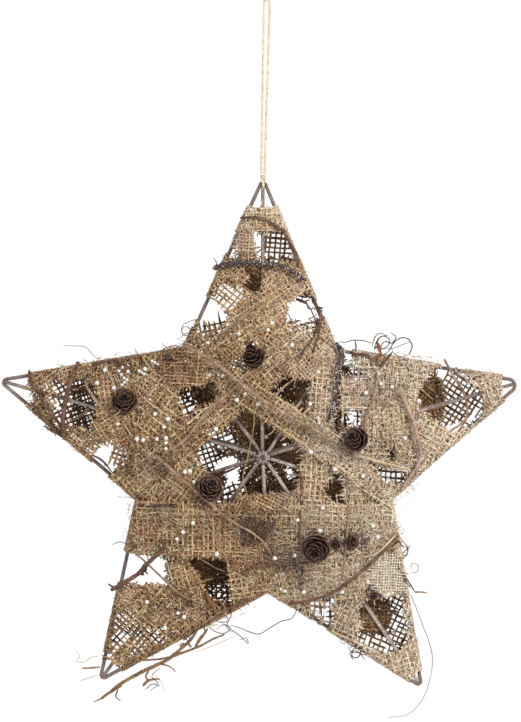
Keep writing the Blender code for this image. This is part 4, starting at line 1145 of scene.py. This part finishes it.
# Small cones: woody scales set in a spiral round a core. Radius, length, lean in degrees towards a
# bearing and number of scales; those without a solid of their own lie on the cloth at a pixel
coneShape = {"golden": 2.39996, "root": 0.30, "thick": 0.00042, "across": 0.66, "narrowing": 0.62,
             "base": 0.80, "swell": 0.30, "swellTurn": 1.6,
             "bladeAt": (0.0, 0.3, 0.6, 0.85, 1.0), "bladeWide": (0.42, 0.78, 1.0, 0.80, 0.34)}
cones = {
    "cone_left": (0.0100, 0.0150, 12.0, 0.0, 46), "cone_upper": (0.0083, 0.0220, 35.0, 340.0, 46),
    "cone_lower_left": (0.0100, 0.0150, 25.0, 30.0, 46),
    "cone_right": (0.0098, 0.0160, 25.0, 300.0, 46),
    "cone_lower_right": (0.0112, 0.0170, 20.0, 200.0, 46),
    "mini_cone_right": (0.0060, 0.0085, 25.0, 40.0, 34, 352, 541),
    "cone_tip_left": (0.0042, 0.0055, 20.0, 260.0, 22, 335, 544),
    "cone_tip_low": (0.0034, 0.0045, 15.0, 90.0, 18, 374, 596),
}


def coneGirth(radius, at):
    swell = math.sin(math.pi * min(1.0, at * coneShape["swellTurn"]))
    return (radius * (1.0 - coneShape["narrowing"] * at * at)
            * (coneShape["base"] + coneShape["swell"] * swell))


def coneMesh(name, radius, length, lean, bearing, scales, centre):
    work = bmesh.new()
    rim = work.verts.layers.float.new("rim")
    for number in range(scales):
        at = (number + 0.5) / scales
        girth = coneGirth(radius, at) * dice.uniform(0.93, 1.04)
        turn = number * coneShape["golden"]
        out = Vector((math.cos(turn), math.sin(turn), 0.0))
        aside = Vector((-out.y, out.x, 0.0))
        rise = length * (0.055 + 0.11 * at)
        half = girth * coneShape["across"] * (1.0 - 0.25 * at)
        for vert in bmesh.ops.create_grid(work, x_segments=4, y_segments=4, size=0.5)["verts"]:
            u, v = vert.co.x * 2.0, vert.co.y + 0.5
            wide = float(np.interp(v, coneShape["bladeAt"], coneShape["bladeWide"]))
            reach = girth * (coneShape["root"] + (1.0 - coneShape["root"]) * v * (1.0 - 0.10 * u * u))
            lift = (rise * (v ** 1.8) - 0.0007 * (1.0 - u * u) * math.sin(math.pi * v)
                    + 0.0005 * v * u * u)
            # How pale the scale is, rising out to its rim: partly a painted highlight.
            vert[rim] = min(1.0, max(0.0, v ** 3.0 + 0.25 * abs(u) ** 3.0 * v))
            vert.co = (out * reach + aside * (u * half * wide)
                       + Vector((0.0, 0.0, length * at * 0.93 + lift)))
    bmesh.ops.solidify(work, geom=work.faces[:], thickness=coneShape["thick"])
    core = bmesh.ops.create_cone(work, cap_ends=True, segments=10, radius1=radius * 0.36,
                                 radius2=radius * 0.12, depth=length * 0.92)["verts"]
    bmesh.ops.translate(work, vec=Vector((0.0, 0.0, length * 0.46)), verts=core)
    tilt, flat = math.radians(lean), starPoint(1.0, bearing)
    axis = Vector((0.0, -1.0, 0.0)) * math.cos(tilt) + Vector((flat.x, 0.0, flat.y)) * math.sin(tilt)
    turned = axis.to_track_quat("Z", "Y").to_matrix()
    for vert in work.verts:
        vert.co = centre + turned @ (vert.co - Vector((0.0, 0.0, length / 2)))
    work.normal_update()
    bmesh.ops.recalc_face_normals(work, faces=work.faces[:])
    return meshFrom(work, name)


for name, (radius, length, lean, bearing, scales, *pixel) in cones.items():
    piece, stands = (name, ()) if pixel else (name + "_scales", [name])
    centre = onFront(*pixel, length * 0.35) if pixel else sum(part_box(name), Vector()) / 2
    mesh = coneMesh(piece, radius, length, lean, bearing, scales, centre)
    finishPiece(mesh, piece, "cone", stands)
print("cones done")

# White snow beads at pixels of the photograph, long drips from one pixel to another, and crumbs
snow = {"bead": (0.00145, 0.00182), "lump": 0.06, "crumb": (0.00018, 0.00050), "onVine": 70,
        "thrown": 2600}
beadsAt = pairs("""
    105,370 97,383 114,388 145,369 118,424 155,414 164,427 168,419 166,438 166,443 166,449 157,439
    137,439 143,440 239,334 208,343 244,347 223,376 210,375 245,394 255,396 258,404 216,429 185,472
    190,471 194,482 216,480 318,372 310,404 378,374 381,384 366,393 392,387 311,452 335,469 363,476
    405,438 283,495 266,437 323,508 298,520 320,531 275,558 295,555 373,526 378,537 368,582 354,546
    342,592 304,592 285,591 183,532 177,539 193,523 217,554 166,578 147,602 178,613 184,617 162,546
    165,628 221,448 237,400 268,330 272,323 292,345 418,422 419,401""")
drips = rings("""
    152,361 158,364 / 165,366 172,361 / 176,364 183,367 / 171,372 177,369 / 186,361 192,364 /
    119,371 124,378 / 122,385 127,380 / 351,361 356,366 / 318,418 319,423 / 253,392 257,395 /
    139,371 144,374""")


def makeBeads():
    work = bmesh.new()
    spots = [(onFront(px, py, 0.0012), dice.uniform(*snow["bead"])) for px, py in beadsAt]
    for (ax, ay), (bx, by) in drips:
        for part in (0.0, 0.5, 1.0):
            spots.append((onFront(ax + (bx - ax) * part, ay + (by - ay) * part, 0.0008),
                          snow["bead"][0] * 0.85))
    for number, (centre, radius) in enumerate(spots):
        for vert in bmesh.ops.create_icosphere(work, subdivisions=2, radius=radius)["verts"]:
            lump = noise.noise(vert.co * 900.0 + Vector((number * 3.1, 0.0, 0.0)))
            vert.co = centre + vert.co * (1.0 + snow["lump"] * lump)
    finishPiece(meshFrom(work, "snow_beads"), "snow_beads", "snow")
    ringAt = onFront(202, 386, 0.0014)
    ring = []
    for number in range(14):
        turn = 2 * math.pi * number / 13
        ring.append(ringAt + Vector((0.0017 * math.cos(turn), 0.0, 0.0017 * math.sin(turn))))
    tubePiece("snow_ring", [(ring, [0.0006] * 14, 0.5)], "snow", sides=6)


def makeCrumbs():  # caught in the knobbly vines and sprinkled over the right side, partly real snow and partly pale specks that paint the brighter light there
    work = bmesh.new()
    spots = []
    for name in ("knobbly_vine_top", "knobbly_vine_right"):
        path = solidRoute(name, stems[name][-1])
        for _ in range(snow["onVine"]):
            at = path[dice.randrange(len(path))]
            spots.append(at + Vector([dice.gauss(0.0, 0.0011), -0.0012 - abs(dice.gauss(0.0, 0.0006)),
                                      dice.gauss(0.0, 0.0011)]))
    for _ in range(snow["thrown"]):
        px, py = dice.uniform(190, 470), dice.uniform(240, 660)
        # More crumbs towards the right, partly painting the brighter light there.
        if dice.random() > 0.12 + 0.88 * min(1.0, max(0.0, (px - 240) / 130.0)):
            continue
        hit = sightHit(px, py)
        if hit is not None and hit.y < 0.0:
            spots.append(hit + Vector((0.0, dice.uniform(-0.0012, -0.0002), 0.0)))
    for spot in spots:
        ball = bmesh.ops.create_icosphere(work, subdivisions=1, radius=dice.uniform(*snow["crumb"]))
        bmesh.ops.translate(work, vec=spot, verts=ball["verts"])
    finishPiece(meshFrom(work, "snow_crumbs"), "snow_crumbs", "snow")
    print("beads and", len(spots), "crumbs done")


makeBeads()
makeCrumbs()

# Fine tendrils, curls and hairs: surface, radius in hundredths of a millimetre, depth in front of
# the frame in millimetres or None to lie on the cloth, and pixels along each
hairs = (
    ("straw", 55, -46, "253,400 254,425 248,455 243,480 249,498 253,508 258,518"),
    ("straw", 35, -4, "62,347 66,345 70,346 85,347 95,357 103,361"),
    ("tendril", 45, -6, "160,352 168,347 176,351 184,346 190,352 196,349"),
    ("tendril", 35, -6, "163,345 172,350 182,344 191,345"),
    ("red", 50, None, "158,356 166,348 176,346 186,352 193,361"),
    ("tendril", 50, None, "161,372 168,364 177,360 186,365 196,362"),
    ("red", 45, None, "164,380 170,370 180,372 190,368 199,374"),
    ("tendril", 45, None, "166,352 172,360 170,369 176,377"),
    ("dark", 50, None, "182,350 188,358 184,368 190,376"),
    ("dark", 45, None, "155,366 163,360 172,356 184,357"),
    ("dark", 60, None, "322,536 328,545 336,540 344,546"),
    ("tendril", 55, None, "300,540 308,534 318,532 328,536 336,532"),
    ("dark", 50, None, "330,556 338,550 346,556 356,552"),
    ("dark", 55, None, "238,524 246,530 254,527 262,533 270,530"),
    ("tendril", 50, None, "242,536 250,532 258,538 268,535"),
    ("tendril", 50, None, "386,540 392,546 398,541 404,548"),
    ("dark", 60, None, "365,591 370,596 376,592 381,598"),
    ("dark", 45, None, "80,372 86,380 84,392 78,402"),
    ("red", 45, None, "34,378 36,390 42,400 40,410"),
    ("tendril", 40, None, "48,372 58,380 66,390 72,402"),
    ("tendril", 40, -4, "181,330 186,326 190,330 187,336 182,333 183,325 190,321 197,319"),
    ("tendril", 40, -4, "180,338 185,334 192,332 197,326 199,320"),
    ("tendril", 35, -4, "183,343 190,340 197,343 194,349 188,346"),
    ("tendril", 45, -4, "338,342 346,342 355,340 364,341 372,343"),
    ("tendril", 60, -4, "355,340 356,347 355,357"),
    ("tendril", 50, -5, "374,350 377,341 383,336 389,339 388,346 381,349 377,344 381,337 388,335"),
    ("tendril", 45, -6, "378,352 384,342 392,343 396,337 391,333"),
    ("tendril", 50, -5,
        "381,356 388,352 393,344 400,338 408,339 412,346 409,354 401,357 394,353 391,346"),
    ("tendril", 40, -4, "372,347 375,337 380,333 386,335"),
    ("tendril", 30, -5, "385,349 394,348 402,345 411,342"),
    ("tendril", 40, -3, "230,625 240,628 257,634 268,629 280,622 290,619 296,612 295,606 291,603"),
    ("tendril", 40, -3, "210,614 218,622 228,621 231,613 224,612"),
    ("tendril", 35, -3, "216,630 224,625 232,630 240,636 248,644 246,638 240,640"),
    ("tendril", 40, -3, "207,626 216,632 226,633 230,627 223,624"),
    ("tendril", 35, -3, "222,610 228,619 227,628 233,632"),
    ("straw", 30, -3, "80,681 88,678 98,675"),
    ("straw", 30, -2, "76,650 80,656 77,661 84,662 92,657 99,656"),
    ("tendril", 50, -4, "395,541 403,542 408,548 405,557 398,560 404,552 411,545"),
    ("tendril", 40, -5, "398,552 406,556 407,548 400,544"),
    ("straw", 35, -3, "410,573 417,572 418,565 412,564 411,569"),
    ("tendril", 50, -4, "350,648 356,645 361,650 358,657 352,656 354,649 362,647"),
    ("tendril", 45, -3, "353,660 350,653 356,651 364,655 368,651"),
    ("tendril", 40, -3, "347,646 352,652 359,653 365,660"),
    ("dark", 80, -2, "131,541 128,546 132,551 136,546 131,541 127,538"),
    ("tendril", 35, -2, "112,545 120,542 128,545"),
    ("straw", 25, -10, "196,652 215,645 236,636"),
    ("straw", 22, -8, "155,675 162,683 165,692"),
    ("tendril", 35, -12, "160,668 152,676 158,684 150,690"),
    ("tendril", 40, -12, "145,690 152,684 160,686"),
    ("tendril", 45, -4, "214,258 217,263 219,268"),
    ("tendril", 40, -4, "316,298 317,305 322,310 320,318"),
    ("tendril", 45, -4, "320,312 324,318 321,324 325,330"),
    ("dark", 55, None, "340,540 346,548 354,549 360,543 367,548"),
    ("dark", 50, None, "352,532 360,536 366,541 372,538"),
    ("dark", 50, None, "265,552 272,556 280,560 288,562"),
    ("dark", 50, None, "258,558 266,561 275,557 284,552"),
    ("tan", 60, -4, "300,300 306,303 312,312 316,322"),
    ("orange", 60, None, "185,563 193,575 199,585 205,594"),
    ("red", 60, None, "196,556 206,562 216,568 228,573"),
    ("cream", 80, None, "366,601 374,615 384,630 394,643"),
)
trailing = "3.48,1.04 3.57,1.09 3.72,1.13 4.00,1.02 4.28,1.26 4.46,1.40"
# Tangles of snapped tendrils: centre and size in pixels, number and surface
tangles = (
    ((172, 358), (17, 11), 26, "tendril"), ((176, 354), (14, 9), 12, "red"),
    ((318, 545), (22, 11), 24, "dark"), ((354, 542), (16, 9), 16, "dark"),
    ((392, 545), (9, 9), 10, "tendril"), ((254, 531), (17, 9), 20, "dark"),
    ((283, 559), (17, 9), 20, "dark"), ((158, 466), (16, 12), 18, "red"),
    ((206, 508), (12, 8), 10, "red"), ((372, 596), (9, 6), 12, "dark"), ((262, 344), (9, 8), 8, "red"),
    ((316, 320), (6, 14), 14, "red"), ((38, 386), (8, 12), 10, "tendril"),
    ((350, 428), (14, 7), 12, "red"), ((404, 590), (9, 7), 9, "tendril"),
    ((203, 602), (10, 9), 12, "red"), ((300, 586), (16, 9), 10, "tendril"),
)


def tangle(centre, size, count, surface):
    rows = []
    for _ in range(count):
        px, py = (dice.gauss(middle, wide / 2) for middle, wide in zip(centre, size))
        turn, curl = dice.uniform(0.0, 2 * math.pi), dice.gauss(0.0, 0.8)
        pixels = []
        for _ in range(4):
            pixels.append((px, py))
            px += 3.6 * math.cos(turn)
            py += 3.6 * math.sin(turn)
            turn += curl
        spots = [pixelAt(*pixel, -0.01) for pixel in pixels]
        if all(nearRim(spot.x, spot.z)[0] > 0.001 for spot in spots):
            rows.append((surface, dice.uniform(0.00028, 0.00052), None, pixels))
    return rows


def makeTendrils():
    rows = [(surface, radius / 100000, depth, pairs(pixels))
            for surface, radius, depth, pixels in hairs]
    groups = {}
    for surface, radius, depth, pixels in rows + [row for place in tangles for row in tangle(*place)]:
        path = (laidRoute(pixels, radius * 1.2, 0.6, 1.7) if depth is None
                else flatRoute(pixels, depth / 1000, 1.4))
        path = [point + noise.noise_vector(point * 160.0) * 0.0004 for point in path]
        girth = [radius * (1.0 - 0.45 * abs(2.0 * index / (len(path) - 1) - 1.0) ** 3
                           + 0.12 * noise.noise(point * 500.0)) for index, point in enumerate(path)]
        groups.setdefault(surface, []).append((path, girth, dice.uniform(0.35, 0.7)))
    trail = evened(solidRoute("trailing_tendril", trailing), 3)
    tubePiece("trailing_hair", [barkRun(trail, (0.0004, 0.00035, 0.0002), 0.6, 0.2, 0.0003, 4.0)],
              "grey", ["trailing_tendril"], 6)
    for surface, runs in groups.items():
        tubePiece("tendrils_" + surface, runs, surface, sides=6)
    print("tendrils done")


makeTendrils()

# Loose fibres, the shredded jute that lies matted over the weave in front: number for a square
# centimetre, radii, lengths and steps along each
fibre = {"long": (2.6, (0.00014, 0.00028), (0.005, 0.018), 4),
         "short": (8.5, (0.00018, 0.00036), (0.0020, 0.0062), 2),
         "spread": 45.0, "sink": (-0.0009, 0.0007), "thinLoss": 0.8, "rimLoss": 0.6,
         "rimRoom": 0.0022, "jump": 0.003, "tone": (0.60, 0.26)}


def fibreRun(x, z, turn, radius, length, steps):
    seen = Vector((x, -0.02, z))
    if ((within(seen, thinPlaces) and dice.random() < fibre["thinLoss"])
            or within(seen, windows + bare)
            or (nearRim(x, z)[0] < fibre["rimRoom"] and dice.random() < fibre["rimLoss"])):
        return None
    step = dice.uniform(*length) / steps
    curl = dice.gauss(0.0, 0.22 if steps > 2 else 0.5)
    points = []
    for _ in range(steps + 1):
        hit = probe(stripTree, x, z, -1.0)[0]
        if hit is None or hit.y > 0.0 or (points and abs(hit.y - points[-1].y) > fibre["jump"]):
            break
        points.append(Vector((x, hit.y + dice.uniform(*fibre["sink"]), z)))
        x += step * math.sin(turn)
        z += step * math.cos(turn)
        turn += curl + dice.gauss(0.0, 0.12)
    if len(points) < 3:
        return None
    thick = dice.uniform(*radius)
    tone = min(1.0, max(0.0, dice.gauss(*fibre["tone"])))
    return points, [thick] * (len(points) - 1) + [thick * 0.5], tone


def looseFibres(names, label, each, radius, length, steps):
    runs = []
    for name in names:
        mesh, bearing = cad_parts[name].data, mainBearing(name, -1.0)
        for face in mesh.polygons:
            if face.normal.y >= -0.3 or face.center.y >= 0.0:
                continue
            verts = [mesh.vertices[index].co for index in face.vertices]
            amount = face.area * 1e4 * each
            for _ in range(int(amount) + (dice.random() < amount % 1.0)):
                weights = [dice.random() + 1e-6 for _ in verts]
                spot = sum((vert * weight for vert, weight in zip(verts, weights)), Vector())
                spot /= sum(weights)
                turn = bearing + dice.gauss(0.0, fibre["spread"]) + dice.choice((0, 0, 90))
                run = fibreRun(spot.x, spot.z, math.radians(turn), radius, length, steps)
                runs += [run] if run else []
    tubePiece(label, runs, "fibre")
    print(label, len(runs))


half = len(strips) // 2
for kind in ("long", "short"):
    looseFibres(list(strips)[:half], kind + "_fibres_under", *fibre[kind])
    looseFibres(list(strips)[half:], kind + "_fibres_over", *fibre[kind])


# Soft daylight on a white ground: place, size, watts and tone of each lamp
studio = {"seen": 1.05, "around": 0.38, "aroundTone": "F4F6FA", "floor": -0.80, "floorTone": "F2F1EF",
          "key": ((1.1, -1.5, 0.55), 0.9, 34.0, "FFFAF2"),
          "fill": ((-1.5, -1.3, 0.1), 1.2, 12.0, "F6F8FF"),
          "behind": ((0.5, 1.9, 0.5), 1.4, 16.0, "FFFAF2")}


def softLight(name, at, size, watts, tone):
    lamp = bpy.data.lights.new(name, "AREA")
    lamp.shape = "DISK"
    lamp.size, lamp.energy, lamp.color = size, watts, hexColour(tone)[:3]
    light = bpy.data.objects.new(name, lamp)
    light.location = at
    light.rotation_euler = (hub - Vector(at)).to_track_quat("-Z", "Y").to_euler()
    bpy.context.scene.collection.objects.link(light)


def makeStudio():
    world = bpy.data.worlds.new("studio")
    bpy.context.scene.world = world
    world.use_nodes = True
    tree = world.node_tree
    tree.nodes.clear()
    seen = addNode(tree, "ShaderNodeBackground", {"Color": (1, 1, 1, 1), "Strength": studio["seen"]})
    fill = addNode(tree, "ShaderNodeBackground", {"Color": hexColour(studio["aroundTone"]),
                                                  "Strength": studio["around"]})
    path = addNode(tree, "ShaderNodeLightPath")
    mix = addNode(tree, "ShaderNodeMixShader", None, {0: path["Is Camera Ray"], 1: fill[0], 2: seen[0]})
    addNode(tree, "ShaderNodeOutputWorld", None, {"Surface": mix[0]})
    bpy.context.scene.view_settings.view_transform = "Standard"
    for name in ("key", "fill", "behind"):
        softLight(name, *studio[name])
    work = bmesh.new()
    bmesh.ops.create_grid(work, x_segments=8, y_segments=8, size=1.1)
    bmesh.ops.translate(work, vec=Vector((0.0, 0.0, studio["floor"])), verts=work.verts[:])
    floor = bpy.data.objects.new("floor", meshFrom(work, "floor"))
    bpy.context.scene.collection.objects.link(floor)
    ground = newMaterial("pale_floor", 0.9, Base_Color=hexColour(studio["floorTone"]))[0]
    floor.data.materials.append(ground)


makeStudio()
